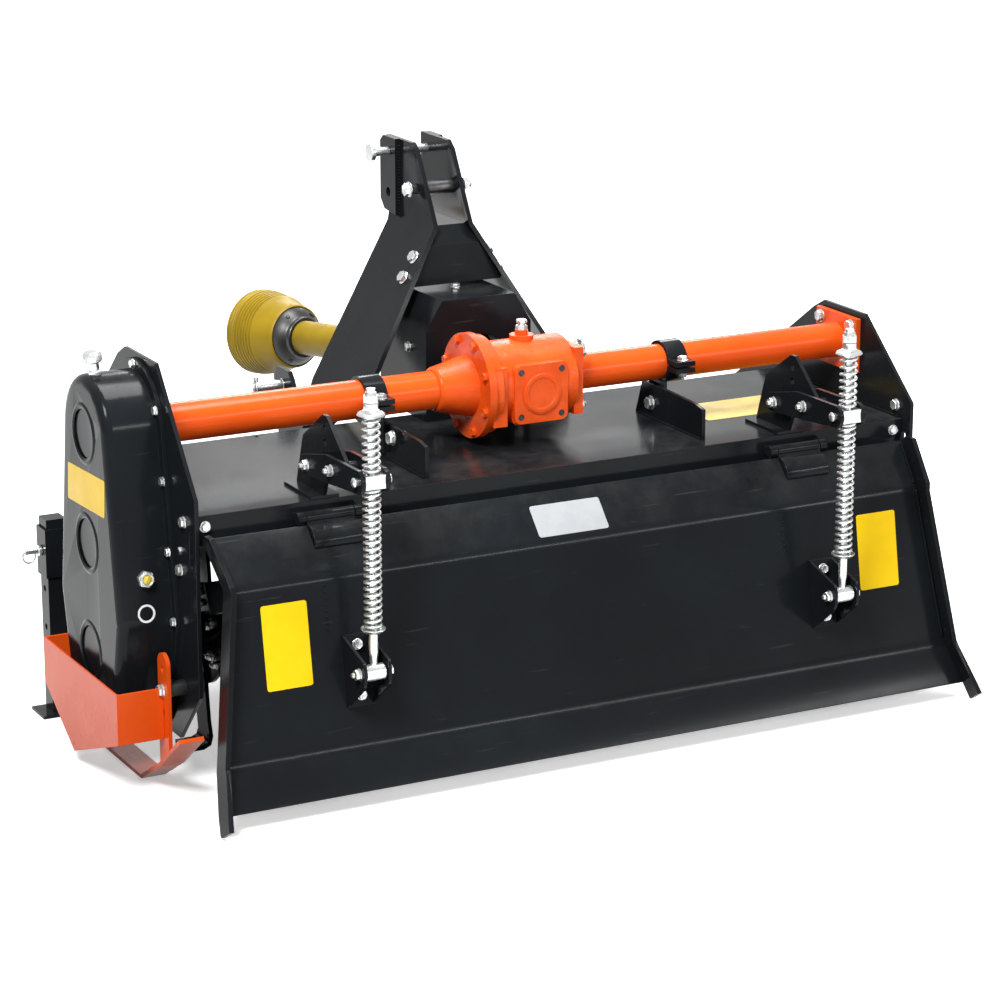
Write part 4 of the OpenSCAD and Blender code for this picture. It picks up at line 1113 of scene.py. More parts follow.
@dataclass
class GearCaseTrim:
    """Bolts, breather, sight glass and blank films of the gear case and the left plate."""

    hardware: Hardware
    circles: tuple[tuple[float, float, float], ...] = (
        (0, 666, 112), (100, 330, 60), (-100, 330, 60), (40, 200, 90), (-40, 200, 90))
    count: int = 13
    flange_x: float = -796.0
    flange_out: float = 10.5
    face_x: float = -900.0
    lean: float = 8.0
    plate_bolts: tuple[tuple[float, float], ...] = ((-212.0, 534.0), (-190.0, 436.0))
    beam_z: float = 666.0
    beam_ring: float = 56.0
    filler: tuple[float, float, float] = (-872.0, 0.0, 777.0)
    filler_ribs: int = 28
    sight: tuple[float, float, float] = (-844.0, -148.5, 415.0)
    level_disc: tuple[float, float, float] = (-846.0, -157.4, 350.0)
    dishes: tuple[float, ...] = (666.0, 453.0, 240.0)
    label: tuple[tuple[float, float], ...] = ((94.0, 518.0), (-98.0, 526.0), (-104.0, 599.0), (88.0, 591.0))

    def build(self) -> None:
        """Fit everything at the left end."""
        self.flange_bolts()
        self.breather()
        self.sight_glass()
        self.films()

    def outline(self, grow: float) -> list[tuple[float, float]]:
        """Wrap a line round the case's circles.

        Args:
            grow: How far outside the case it runs, in millimetres.

        Returns:
            Its points, forward and up, anticlockwise.
        """
        points = sorted(
            (y + (r + grow) * math.cos(a * math.pi / 24), z + (r + grow) * math.sin(a * math.pi / 24))
            for y, z, r in self.circles for a in range(48))

        def half(run: Iterable[tuple[float, float]]) -> list[tuple[float, float]]:
            """Wrap one side of the hull.

            Args:
                run: The points in order.

            Returns:
                The side's corners, without the last.
            """
            kept: list[tuple[float, float]] = []
            for p in run:
                while len(kept) > 1 and (
                        (kept[-1][0] - kept[-2][0]) * (p[1] - kept[-2][1])
                        <= (kept[-1][1] - kept[-2][1]) * (p[0] - kept[-2][0])):
                    kept.pop()
                kept.append(p)
            return kept[:-1]

        return half(points) + half(reversed(points))

    def spaced(self, grow: float, count: int) -> list[tuple[float, float]]:
        """Take even steps along the outline.

        Args:
            grow: How far outside the case they lie.
            count: Number of steps.

        Returns:
            The points, forward and up.
        """
        loop = self.outline(grow)
        loop.append(loop[0])
        spans = [math.dist(a, b) for a, b in zip(loop, loop[1:])]
        step, found, walked = sum(spans) / count, [], 0.0
        for (a, b), span in zip(zip(loop, loop[1:]), spans):
            while len(found) < count and len(found) * step <= walked + span:
                share = (len(found) * step - walked) / span
                found.append((a[0] + (b[0] - a[0]) * share, a[1] + (b[1] - a[1]) * share))
            walked += span
        return found

    def flange_bolts(self) -> None:
        """Bolt the flange all round, and the plate behind it."""
        spots = [Spot(at(self.flange_x, y, z), LEFT) for y, z in self.spaced(self.flange_out, self.count)]
        self.hardware.fit("case_flange_bolts", Fastener.BOLT, 9.0, spots)
        plate = [Spot(at(-788, y, z), LEFT) for y, z in self.plate_bolts]
        self.hardware.fit("left_plate_bolts", Fastener.BOLT, 11.0, plate)
        turns = [math.pi * n / 3 for n in range(6)]
        far = self.beam_ring
        inner = [Spot(at(-768, far * math.cos(a), self.beam_z + far * math.sin(a)), RIGHT) for a in turns]
        self.hardware.fit("left_beam_bolts", Fastener.BOLT, 12.0, inner)

    def breather(self) -> None:
        """Make the filler breather: a hexagon, a neck and a ribbed cap."""
        base = self.hardware.hexagon("base", 15.0, 9.0, 0.0)
        cap = Bench.lathe("cap", [
            (0, 8), (10, 8), (10, 24), (16.4, 25), (17.4, 27), (17.4, 41), (16, 44), (11, 45.5), (0, 46)], 36)
        rib = Bench.block("rib", Vector((0.0168, -0.0008, 0.0275)), Vector((0.0186, 0.0008, 0.0405)), 0.4)
        step = 360 / self.filler_ribs
        ribs = Bench.stamp(rib, [Spot(Vector(), UP, step * n) for n in range(self.filler_ribs)])
        Bench.drop(rib)
        whole = Bench.join("filler_breather", [base, cap, *ribs])
        Bench.move(whole, Spot(at(*self.filler), Vector((-0.16, -0.04, 1.0))))
        Bench.dress(whole, ZINC, "frame", "breather")

    def sight_glass(self) -> None:
        """Make the oil sight: a hexagon collar round an amber window, with a ringed disc below."""
        facing = Vector((0.0, -math.cos(math.radians(self.lean)), math.sin(math.radians(self.lean))))
        collar = self.hardware.hexagon("collar", 18.5, 11.0, 1.0)
        ring = Bench.lathe("ring", [(9.4, 9), (9.4, 15), (10.4, 16), (12.4, 16), (13.4, 15), (13.6, 9)], 28)
        nut = Bench.join("sight_collar", [collar, ring])
        Bench.move(nut, Spot(at(*self.sight), facing, 12.0))
        Bench.dress(nut, ZINC, "frame", "oil_sight_plug")
        window = Bench.lathe("sight_window", [(9.6, 12), (9.2, 13.4), (7, 14.6), (3.5, 15.2), (0, 15.4)], 24)
        Bench.dress(Bench.move(window, Spot(at(*self.sight), facing)), BRASS, "frame")
        disc = Bench.lathe("oil_level_disc", [(13.2, 0), (13.6, 0.8), (17.2, 0.8), (17.6, 0)], 36)
        Bench.dress(Bench.move(disc, Spot(at(*self.level_disc), facing)), WHITE, "frame")

    def films(self) -> None:
        """Lay the rims of the dishes and the blank film on the outer face."""
        rim = Bench.lathe("rim", [(47, 0), (49, 1.4), (52, 2.2), (55, 2.2), (58, 1.2), (60, 0)], 48)
        spots = [Spot(at(self.face_x, 0, z), LEFT) for z in self.dishes]
        Bench.dress(Bench.spread("case_dish_rims", rim, spots), CHARCOAL, "frame")
        sign = [at(self.face_x, y, z) for y, z in self.label]
        Bench.dress(self.hardware.film("case_film", sign), SIGN, "frame")


@dataclass
class SkidTrim:
    """Bolts, spacer sleeves and welds of the two skids."""

    hardware: Hardware
    upright_y: tuple[float, ...] = (-192.0, 192.0)
    bolt_z: float = 208.0
    left_x: float = -832.0
    right_x: float = 812.0
    plate_x: float = 788.0
    sleeve_left: float = 35.6
    sleeve_right: float = 15.6

    def build(self) -> None:
        """Fit both skids."""
        spots = [Spot(at(self.left_x, y, self.bolt_z), LEFT) for y in self.upright_y]
        spots += [Spot(at(self.right_x, y, self.bolt_z), RIGHT) for y in self.upright_y]
        self.hardware.fit("skid_bolts", Fastener.BOLT, 13.0, spots)
        self.sleeves("skid_sleeves_left", -self.plate_x, LEFT, self.sleeve_left)
        self.sleeves("skid_sleeves_right", self.plate_x, RIGHT, self.sleeve_right)
        seams = []
        for x in (self.left_x - 0.5, self.right_x + 0.5):
            seams.append((at(x, -213, 86), at(x, -172, 56)))
            seams.append((at(x, 172, 9), at(x, 212, 48)))
        self.hardware.weld("skid_welds", seams, 6.0, ORANGE)

    def sleeves(self, name: str, x: float, facing: Vector, length: float) -> None:
        """Slip dark sleeves over the rods between plate and upright.

        Args:
            name: The piece's name.
            x: The plate's outer face.
            facing: Which way the rods go.
            length: Length of the sleeves.
        """
        tube = Bench.lathe("sleeve", [
            (12.1, 0), (14.5, 0), (14.8, 1), (14.8, length - 1), (14.5, length), (12.1, length),
            (12.1, 0)], 24)
        spots = [Spot(at(x, y, self.bolt_z), facing) for y in self.upright_y]
        Bench.dress(Bench.spread(name, tube, spots), BLACK, "frame")


@dataclass
class BeamTrim:
    """Bolts of the beam's clamps, brackets and right flange."""

    hardware: Hardware
    clamps: tuple[float, ...] = (-312.0, 362.0)
    ear_y: float = -59.0
    beam_z: float = 666.0
    corner: tuple[float, float] = (56.0, 40.0)
    brackets: tuple[float, ...] = (-282.0, 332.0)
    bracket_half: float = 4.5
    deck_z: float = 549.5

    def build(self) -> None:
        """Fit the bolts along the beam."""
        ears = [Spot(at(x, self.ear_y, 678), UP) for x in self.clamps]
        self.hardware.fit("clamp_bolts", Fastener.BOLT, 11.0, ears)
        nuts = [Spot(at(x, self.ear_y, 654), -UP) for x in self.clamps]
        self.hardware.fit("clamp_nuts", Fastener.NUT, 10.0, nuts)
        heads = [Spot(at(-294, -72, 600), LEFT), Spot(at(328, 4, 580), LEFT)]
        self.hardware.fit("bracket_bolts", Fastener.BOLT, 14.0, heads)
        backs = [Spot(at(-278, -72, 600), RIGHT), Spot(at(344, 4, 580), RIGHT)]
        self.hardware.fit("bracket_nuts", Fastener.NUT, 12.0, backs)
        wide, high = self.corner
        corners = [(y, self.beam_z + z) for y in (-wide, wide) for z in (-high, high)]
        inner = [Spot(at(768, y, z), LEFT) for y, z in corners]
        self.hardware.fit("right_beam_bolts", Fastener.BOLT, 13.0, inner)
        outer = [Spot(at(788, y, z), RIGHT) for y, z in corners]
        self.hardware.fit("right_beam_nuts", Fastener.NUT, 12.0, outer)
        sides = [x + side for x in self.brackets for side in (-self.bracket_half, self.bracket_half)]
        seams = [(at(x, -190, self.deck_z), at(x, 60, self.deck_z)) for x in sides]
        self.hardware.weld("bracket_welds", seams, 6.0)


@dataclass
class GearboxTrim:
    """Painted bolts, plugs, cover holes shown as black discs of painted shade, and the weld ring of the
    gearbox.
    """

    hardware: Hardware
    mid_x: float = 25.0
    beam_z: float = 666.0
    flange_x: float = -98.0
    flange_ring: float = 93.0
    right_x: float = 128.0
    right_half: float = 52.0
    cover_z: float = 656.0
    cover_half: float = 45.0
    neck_x: float = -168.0

    def build(self) -> None:
        """Fit the gearbox."""
        turns = [math.pi * (n + 0.5) / 4 for n in range(8)]
        far = self.flange_ring
        ring = [Spot(at(self.flange_x, far * math.cos(a), self.beam_z + far * math.sin(a)), LEFT)
                for a in turns]
        self.hardware.fit("gearbox_flange_bolts", Fastener.BOLT, 9.5, ring, ORANGE)
        ends = (-self.right_half, self.right_half)
        square = [Spot(at(self.right_x, y, self.beam_z + z), RIGHT) for y in ends for z in ends]
        self.hardware.fit("gearbox_right_nuts", Fastener.NUT, 10.0, square)
        drain = [Spot(at(-22, -74, 606), REAR)]
        self.hardware.fit("gearbox_drain_plug", Fastener.BOLT, 12.0, drain, ORANGE)
        self.cover()
        self.plug()
        bead = Bench.lathe("neck_weld", [
            (37.6, -6), (40, -6.5), (43.5, -4), (45.5, 0), (45.6, 4), (37.6, 4)], 40)
        Bench.dress(Bench.move(bead, Spot(at(self.neck_x, 0, self.beam_z), RIGHT)), ORANGE, "frame")

    def cover(self) -> None:
        """Mark the cover's blind holes with black discs painted as the shade inside them, and lay the turned
        pad in its middle.
        """
        # Each hole is a black disc with a raised lip, painted shade standing in for the inside of a blind
        # hole.
        hole = Bench.lathe("hole", [(0, 0.2), (4.4, 0.2), (5.0, 1.0), (6.0, 1.0), (6.6, 0)], 20)
        ends = (-self.cover_half, self.cover_half)
        spots = [Spot(at(self.mid_x + x, -86, self.cover_z + z), REAR) for x in ends for z in ends]
        Bench.dress(Bench.spread("cover_holes", hole, spots), BLACK, "frame")
        ring = Bench.lathe("cover_ring", [(30, 0), (31, 1.2), (35, 1.6), (39, 1.2), (40, 0)], 40)
        Bench.dress(Bench.move(ring, Spot(at(self.mid_x, -89, self.cover_z), REAR)), CAST_ORANGE, "frame")

    def plug(self) -> None:
        """Screw the breather plug into the top boss."""
        base = self.hardware.hexagon("base", 13.0, 9.0, 0.0)
        cap = Bench.lathe("cap", [
            (0, 8), (7.6, 8), (7.6, 12), (10.4, 13), (11, 14.4), (11, 18), (9.6, 20), (0, 21)], 24)
        plug = Bench.move(Bench.join("gearbox_breather", [base, cap]), Spot(at(self.mid_x, 0, 767), UP))
        Bench.dress(plug, ZINC, "frame")


@dataclass
class MastTrim:
    """Bolts, welds and linch pins of the mast, the shield and the hitch."""

    hardware: Hardware
    mid_x: float = 25.0
    half: float = 35.0
    thick: float = 10.0
    knee: float = 922.0
    splay: float = 31.0
    spacer: tuple[float, float] = (378.0, 990.0)
    spacer_out: float = 15.0
    brace_y: float = 312.0
    brace_z: tuple[float, ...] = (862.0, 822.0)
    shield_half: float = 120.0
    foot_half: float = 92.0
    hitch_sides: tuple[float, ...] = (-298.5, -287.5, 337.5, 348.5)
    hitch_z: float = 497.5
    ring_r: float = 0.019

    def build(self) -> None:
        """Fit the mast and the hitch."""
        self.bolts()
        self.welds()
        self.linch_pins()

    def bolts(self) -> None:
        """Bolt the spacer, the brace and the shield."""
        out = self.half + self.thick + self.spacer_out
        head, end = at(self.mid_x - out, *self.spacer), at(self.mid_x + out, *self.spacer)
        self.hardware.fit("spacer_bolt", Fastener.BOLT, 15.0, [Spot(head, LEFT)])
        self.hardware.fit("spacer_nut", Fastener.NUT, 14.0, [Spot(end, RIGHT)])
        lean = math.radians(self.splay)
        spots = []
        for z in self.brace_z:
            out = self.half + (self.knee - z) * math.tan(lean) + self.thick / math.cos(lean)
            for side in (-1, 1):
                facing = Vector((side * math.cos(lean), 0.0, math.sin(lean)))
                spots.append(Spot(at(self.mid_x + side * out, self.brace_y, z), facing))
        self.hardware.fit("brace_bolts", Fastener.BOLT, 13.0, spots)
        shield = [Spot(at(self.mid_x, 290, 796), UP),
                  Spot(at(self.mid_x - self.shield_half, 262, 690), LEFT),
                  Spot(at(self.mid_x + self.shield_half, 262, 690), RIGHT)]
        shield += [Spot(at(self.mid_x + x, 185, 590), REAR) for x in (-self.foot_half, self.foot_half)]
        self.hardware.fit("shield_bolts", Fastener.BOLT, 10.0, shield)

    def welds(self) -> None:
        """Weld the doublers and the feet of the mast."""
        seams = []
        for side in (-1, 1):
            x = self.mid_x + side * (self.half + self.thick)
            seams.append((at(x + side, 455, 926), at(x + side, 455, 1078)))
        self.hardware.weld("mast_welds", seams, 8.0, CHARCOAL, 0.8)
        feet = [(at(x, 347, self.hitch_z), at(x, 412, self.hitch_z)) for x in self.hitch_sides]
        self.hardware.weld("hitch_welds", feet, 7.0)

    def linch_pins(self) -> None:
        """Put a linch pin with a spring ring through the free end of each hitch pin."""
        shank = Bench.lathe("shank", [
            (0, -17), (2.6, -15.6), (3.4, -13), (3.4, 12), (6, 13), (6, 21), (5, 22), (0, 22)], 14)
        turn = [2 * math.pi * n / 36 for n in range(36)]
        loop = [Vector((0.0, self.ring_r * math.sin(a), self.ring_r * math.cos(a))) for a in turn]
        ring = Bench.wire("ring", loop, 3.2, 8, True)
        pattern = Bench.join("linch", [shank, ring])
        spots = [Spot(at(92, 490, 1052), UP, 10.0), Spot(at(-356, 450, 592), UP, -12.0),
                 Spot(at(406, 450, 592), UP, 8.0)]
        Bench.dress(Bench.spread("linch_pins", pattern, spots), ZINC, "frame")


@dataclass
class DeckTrim:
    """Bolts on the deck's ends, its blank label and its welds."""

    hardware: Hardware
    lip_x: float = 757.0
    lip: tuple[float, float] = (-236.0, 527.0)
    right_bolt: tuple[float, float] = (-214.0, 572.0)
    label_x: tuple[float, float] = (420.0, 700.0)
    label_y: tuple[float, float] = (-70.0, 60.0)
    deck_z: float = 548.0
    gusset_x: float = 446.0
    weld_x: float = 778.0
    weld_z: float = 550.0

    def build(self) -> None:
        """Fit the deck."""
        spots = [Spot(at(x, *self.lip), REAR) for x in (-self.lip_x, self.lip_x)]
        self.hardware.fit("lip_bolts", Fastener.BOLT, 10.0, spots)
        self.hardware.fit("right_plate_bolt", Fastener.BOLT, 12.0, [Spot(at(780, *self.right_bolt), LEFT)])
        self.hardware.fit("right_plate_nut", Fastener.NUT, 12.0, [Spot(at(788, *self.right_bolt), RIGHT)])
        (left, right), (near, far) = self.label_x, self.label_y
        corners = ((left, near), (right, near), (right, far), (left, far))
        label = [at(x, y, self.deck_z) for x, y in corners]
        Bench.dress(self.hardware.film("deck_label", label), FADED, "frame")
        gusset = Bench.plate("gusset", [
            (-236, 548), (-248, 548), (-252, 540), (-240, 500), (-236, 500)], 8.0, 0.8, -4.0)
        gusset.data.transform(Matrix(((0, 0, 1, 0), (1, 0, 0, 0), (0, 1, 0, 0), (0, 0, 0, 1))))
        spots = [Spot(at(x, 0, 0), UP) for x in (-self.gusset_x, self.gusset_x)]
        Bench.dress(Bench.spread("lip_gussets", gusset, spots), CHARCOAL, "frame")
        seams = [(at(x, -225, self.weld_z), at(x, 250, self.weld_z)) for x in (-self.weld_x, self.weld_x)]
        self.hardware.weld("deck_welds", seams, 6.0)


@dataclass
class SpringGear:
    """Coil springs, cups, nuts and bolts of the two spring rods."""

    hardware: Hardware
    reach: float = 512.0
    rod_y: float = -436.0
    wire: float = 6.0
    coil: float = 36.0
    upper: tuple[float, float, float] = (646.0, 758.0, 9.0)
    lower: tuple[float, float, float] = (351.0, 620.0, 22.0)
    low_cup_z: float = 346.0
    high_cup_z: float = 758.4
    rod_end_z: float = 787.0
    pivot_z: float = 633.0
    eye_z: float = 267.0
    arm_half: float = 29.0
    pivot_half: float = 35.0
    eye_half: float = 28.0
    arm_bolts: tuple[tuple[float, float], ...] = ((-216.0, 612.0), (-324.0, 628.0))

    def build(self) -> None:
        """Fit both sides."""
        for side, x in (("left", -self.reach), ("right", self.reach)):
            upper = self.spring(f"upper_coil_{side}", x, *self.upper)
            Bench.dress(upper, ZINC, f"trunnion_{side}", f"upper_spring_{side}", angle=60.0)
            lower = self.spring(f"lower_coil_{side}", x, *self.lower)
            Bench.dress(lower, ZINC, f"rod_{side}", f"lower_spring_{side}", angle=60.0)
            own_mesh(lower)
            self.cups(side, x)
            self.bolts(side, x)

    def spring(self, name: str, x: float, low: float, high: float, turns: float) -> bpy.types.Object:
        """Wind a spring with closed ends round a rod.

        Args:
            name: The object's name.
            x: Where the rod stands.
            low: Height of its lower end.
            high: Height of its upper end.
            turns: Number of turns.

        Returns:
            The spring.
        """
        steps = int(turns * 20)
        middle = (self.coil - self.wire) / 2
        first, last = low + self.wire / 2, high - self.wire / 2
        free = (last - first - 2 * self.wire) / (turns - 2)
        points = []
        for n in range(steps + 1):
            t = turns * n / steps
            closed, opened = min(t, 1.0) * self.wire, max(0.0, min(t, turns - 1) - 1) * free
            rise = closed + opened + max(0.0, t - turns + 1) * self.wire
            turn = 2 * math.pi * t
            points.append(at(x + middle * math.cos(turn), self.rod_y + middle * math.sin(turn), first + rise))
        return Bench.wire(name, points, self.wire - 0.1, 8)

    def cups(self, side: str, x: float) -> None:
        """Put a flared cup under the lower spring and a flat one on the upper.

        Args:
            side: Which side it is.
            x: Where the rod stands.
        """
        body = f"rod_{side}"
        low = Bench.lathe("low", [
            (8.6, 0), (13, -1), (20, 1.5), (23.6, 5.4), (23, 6.8), (19.4, 4.2), (12, 3), (8.6, 3),
            (8.6, 0)], 32)
        high = Bench.lathe("high", [
            (8.6, 0), (19, 0), (24.6, -3.4), (26, -2.2), (24, 1.4), (17, 4.6), (12, 6), (11, 8), (8.6, 8),
            (8.6, 0)], 32)
        for name, cup, z in (("lower_cup", low, self.low_cup_z), ("upper_cup", high, self.high_cup_z)):
            Bench.move(cup, Spot(at(x, self.rod_y, z), UP))
            cup.name = f"{name}_{side}"
            Bench.dress(cup, ZINC, body)
        ends = [Spot(at(x, self.rod_y, self.rod_end_z), UP)]
        self.hardware.fit(f"rod_top_nut_{side}", Fastener.NUT, 12.0, ends, ZINC, body)

    def bolts(self, side: str, x: float) -> None:
        """Bolt the arms to the bracket and pin the trunnion and the eye.

        Args:
            side: Which side it is.
            x: Where the rod stands.
        """
        for name, kind, facing in (("nuts", Fastener.NUT, LEFT), ("bolts", Fastener.BOLT, RIGHT)):
            spots = [Spot(at(x + self.arm_half * facing.x, y, z), facing) for y, z in self.arm_bolts]
            self.hardware.fit(f"arm_{name}_{side}", kind, 11.0, spots)
        ends = [Spot(at(x + self.pivot_half * f.x, self.rod_y, self.pivot_z), f) for f in (LEFT, RIGHT)]
        self.hardware.fit(f"pivot_ends_{side}", Fastener.DOME, 9.0, ends, ZINC, f"trunnion_{side}")
        for name, kind, facing in (("nut", Fastener.NUT, LEFT), ("bolt", Fastener.BOLT, RIGHT)):
            spots = [Spot(at(x + self.eye_half * facing.x, self.rod_y, self.eye_z), facing)]
            self.hardware.fit(f"eye_{name}_{side}", kind, 11.0, spots, ZINC, "tailgate")


@dataclass
class TailgateTrim:
    """Bent sheet, signs, welds and bolts of the tailgate."""

    hardware: Hardware
    path: tuple[tuple[float, float], ...] = ((-262, 511), (-336, 431), (-391, 110), (-439, 37))
    edge: tuple[tuple[float, float], ...] = ((522, 764), (431, 752), (110, 796), (37, 814), (4, 820))
    bend: float = 13.0
    facets: int = 8
    thick: float = 4.0
    rim: float = 1.2
    bracket_x: float = 512.0
    bracket_bolts: tuple[float, ...] = (301.0, 207.0)
    leaf_x: float = 515.0
    leaf_wide: float = 98.0

    def build(self) -> None:
        """Fit the tailgate."""
        self.sheet()
        self.signs()
        self.bolts()
        self.welds()
        self.hinges()

    def half_width(self, z: float) -> float:
        """Give half the sheet's width at a height.

        Args:
            z: The height in millimetres.

        Returns:
            The half width in millimetres.
        """
        for (high, wide), (low, narrow) in zip(self.edge, self.edge[1:]):
            if z >= low:
                return narrow + (wide - narrow) * (z - low) / (high - low)
        return self.edge[-1][1]

    def profile(self) -> list[tuple[float, float]]:
        """Round the bends of the rear face's path.

        Returns:
            Points forward and up, from the hinge down.
        """
        points = [self.path[0]]
        for before, corner, after in zip(self.path, self.path[1:], self.path[2:]):
            into = Vector(before) - Vector(corner)
            away = Vector(after) - Vector(corner)
            a = Vector(corner) + into.normalized() * self.bend
            b = Vector(corner) + away.normalized() * self.bend
            for n in range(self.facets + 1):
                t = n / self.facets
                p = a * (1 - t) ** 2 + Vector(corner) * 2 * t * (1 - t) + b * t ** 2
                points.append((p.x, p.y))
        return points + [self.path[-1]]

    def sheet(self) -> None:
        """Bend the sheet with rounded folds, thicken it and soften its rim."""
        points = self.profile()
        sheet = Bench.line("tailgate_panel", [at(-1, y, z) for y, z in points])
        with Bench.editing(sheet):
            bpy.ops.mesh.select_all(action="SELECT")
            bpy.ops.mesh.extrude_edges_move(TRANSFORM_OT_translate={"value": (2 * MM, 0, 0)})
        for vert in sheet.data.vertices:
            side = -1 if vert.co.x < DATUM.x else 1
            vert.co.x = DATUM.x + side * self.half_width(vert.co.z / MM) * MM
        solid = sheet.modifiers.new("gauge", "SOLIDIFY")
        solid.thickness = self.thick * MM
        solid.offset = -1.0
        with Bench.editing(sheet):
            Bench.face_out()
        normal = sum((p.normal for p in sheet.data.polygons), Vector())
        if normal.y > 0:
            sheet.data.flip_normals()
        Bench.take(sheet)
        bpy.ops.object.modifier_apply(modifier=solid.name)
        Bench.soften(sheet, self.rim, 3, 60.0)
        Bench.dress(sheet, CHARCOAL, "tailgate", "tailgate_sheet")

    def rear(self, z: float) -> float:
        """Find the rear face at a height.

        Args:
            z: The height in millimetres.

        Returns:
            Its place forward of the beam's axis, in millimetres.
        """
        for (y0, z0), (y1, z1) in zip(self.path, self.path[1:]):
            if z >= z1:
                return y1 + (y0 - y1) * (z - z1) / (z0 - z1)
        return self.path[-1][0]

    def patch(self, name: str, x0: float, x1: float, z0: float, z1: float, finish: Finish) -> None:
        """Lay a blank film on the sheet.

        Args:
            name: The film's name.
            x0: Its left edge.
            x1: Its right edge.
            z0: Its lower edge.
            z1: Its upper edge.
            finish: Its finish.
        """
        corners = [at(x, self.rear(z), z) for x, z in ((x0, z0), (x1, z0), (x1, z1), (x0, z1))]
        Bench.dress(self.hardware.film(name, corners), finish, "tailgate")

    def signs(self) -> None:
        """Lay the blank signs and the blank data plate."""
        self.patch("sign_left", -696, -604, 237, 394, SIGN)
        self.patch("sign_right", 602, 694, 242, 393, SIGN)
        self.patch("data_plate", -108, 44, 440, 490, SILVER)

    def bolts(self) -> None:
        """Bolt the rod brackets."""
        slope = Vector((0.0, -0.986, 0.169))
        for side, x in (("left", -self.bracket_x), ("right", self.bracket_x)):
            spots = [Spot(at(x, self.rear(z) - 7.5, z), slope) for z in self.bracket_bolts]
            self.hardware.fit(f"rod_bracket_bolts_{side}", Fastener.BOLT, 10.0, spots, ZINC, "tailgate")

    def hinges(self) -> None:
        """Roll the glossy leaves that wrap the hinge and lie on the sheet."""
        middle, along, out = Vector((-280.0, 491.5)), Vector((0.679, 0.734)), Vector((-0.734, 0.679))
        turn = [math.radians(a) for a in range(0, 181, 12)]
        bulge = [middle + along * 25.0 * math.cos(a) + out * 14.0 * math.sin(a) for a in turn]
        leaves = []
        for x in (-self.leaf_x, self.leaf_x):
            leaf = Bench.line("leaf", [at(x - self.leaf_wide / 2, p.x, p.y) for p in bulge])
            with Bench.editing(leaf):
                bpy.ops.mesh.select_all(action="SELECT")
                bpy.ops.mesh.edge_face_add()
                across = RIGHT * self.leaf_wide * MM
                bpy.ops.mesh.extrude_region_move(TRANSFORM_OT_translate={"value": across})
                Bench.face_out()
            leaves.append(Bench.soften(leaf, self.rim, 3, 50.0))
        Bench.dress(Bench.join("hinge_leaves", leaves), CHARCOAL, "tailgate")

    def welds(self) -> None:
        """Lay the dotted weld beside the left bracket and those along the side bars."""
        runs = [self.hardware.run("run", at(x, self.rear(415), 415), at(x, self.rear(low), low), 7.0, 1.7)
                for x, low in ((-566, 320), (430, 330))]
        for side in (-1, 1):
            for top, foot in ((505, 436), (424, 120)):
                a = at(side * (self.half_width(top) - 5), self.rear(top) - 2, top)
                b = at(side * (self.half_width(foot) - 5), self.rear(foot) - 2, foot)
                runs.append(self.hardware.run("run", a, b, 7.0))
        Bench.dress(Bench.join("tailgate_welds", runs), CHARCOAL, "tailgate")


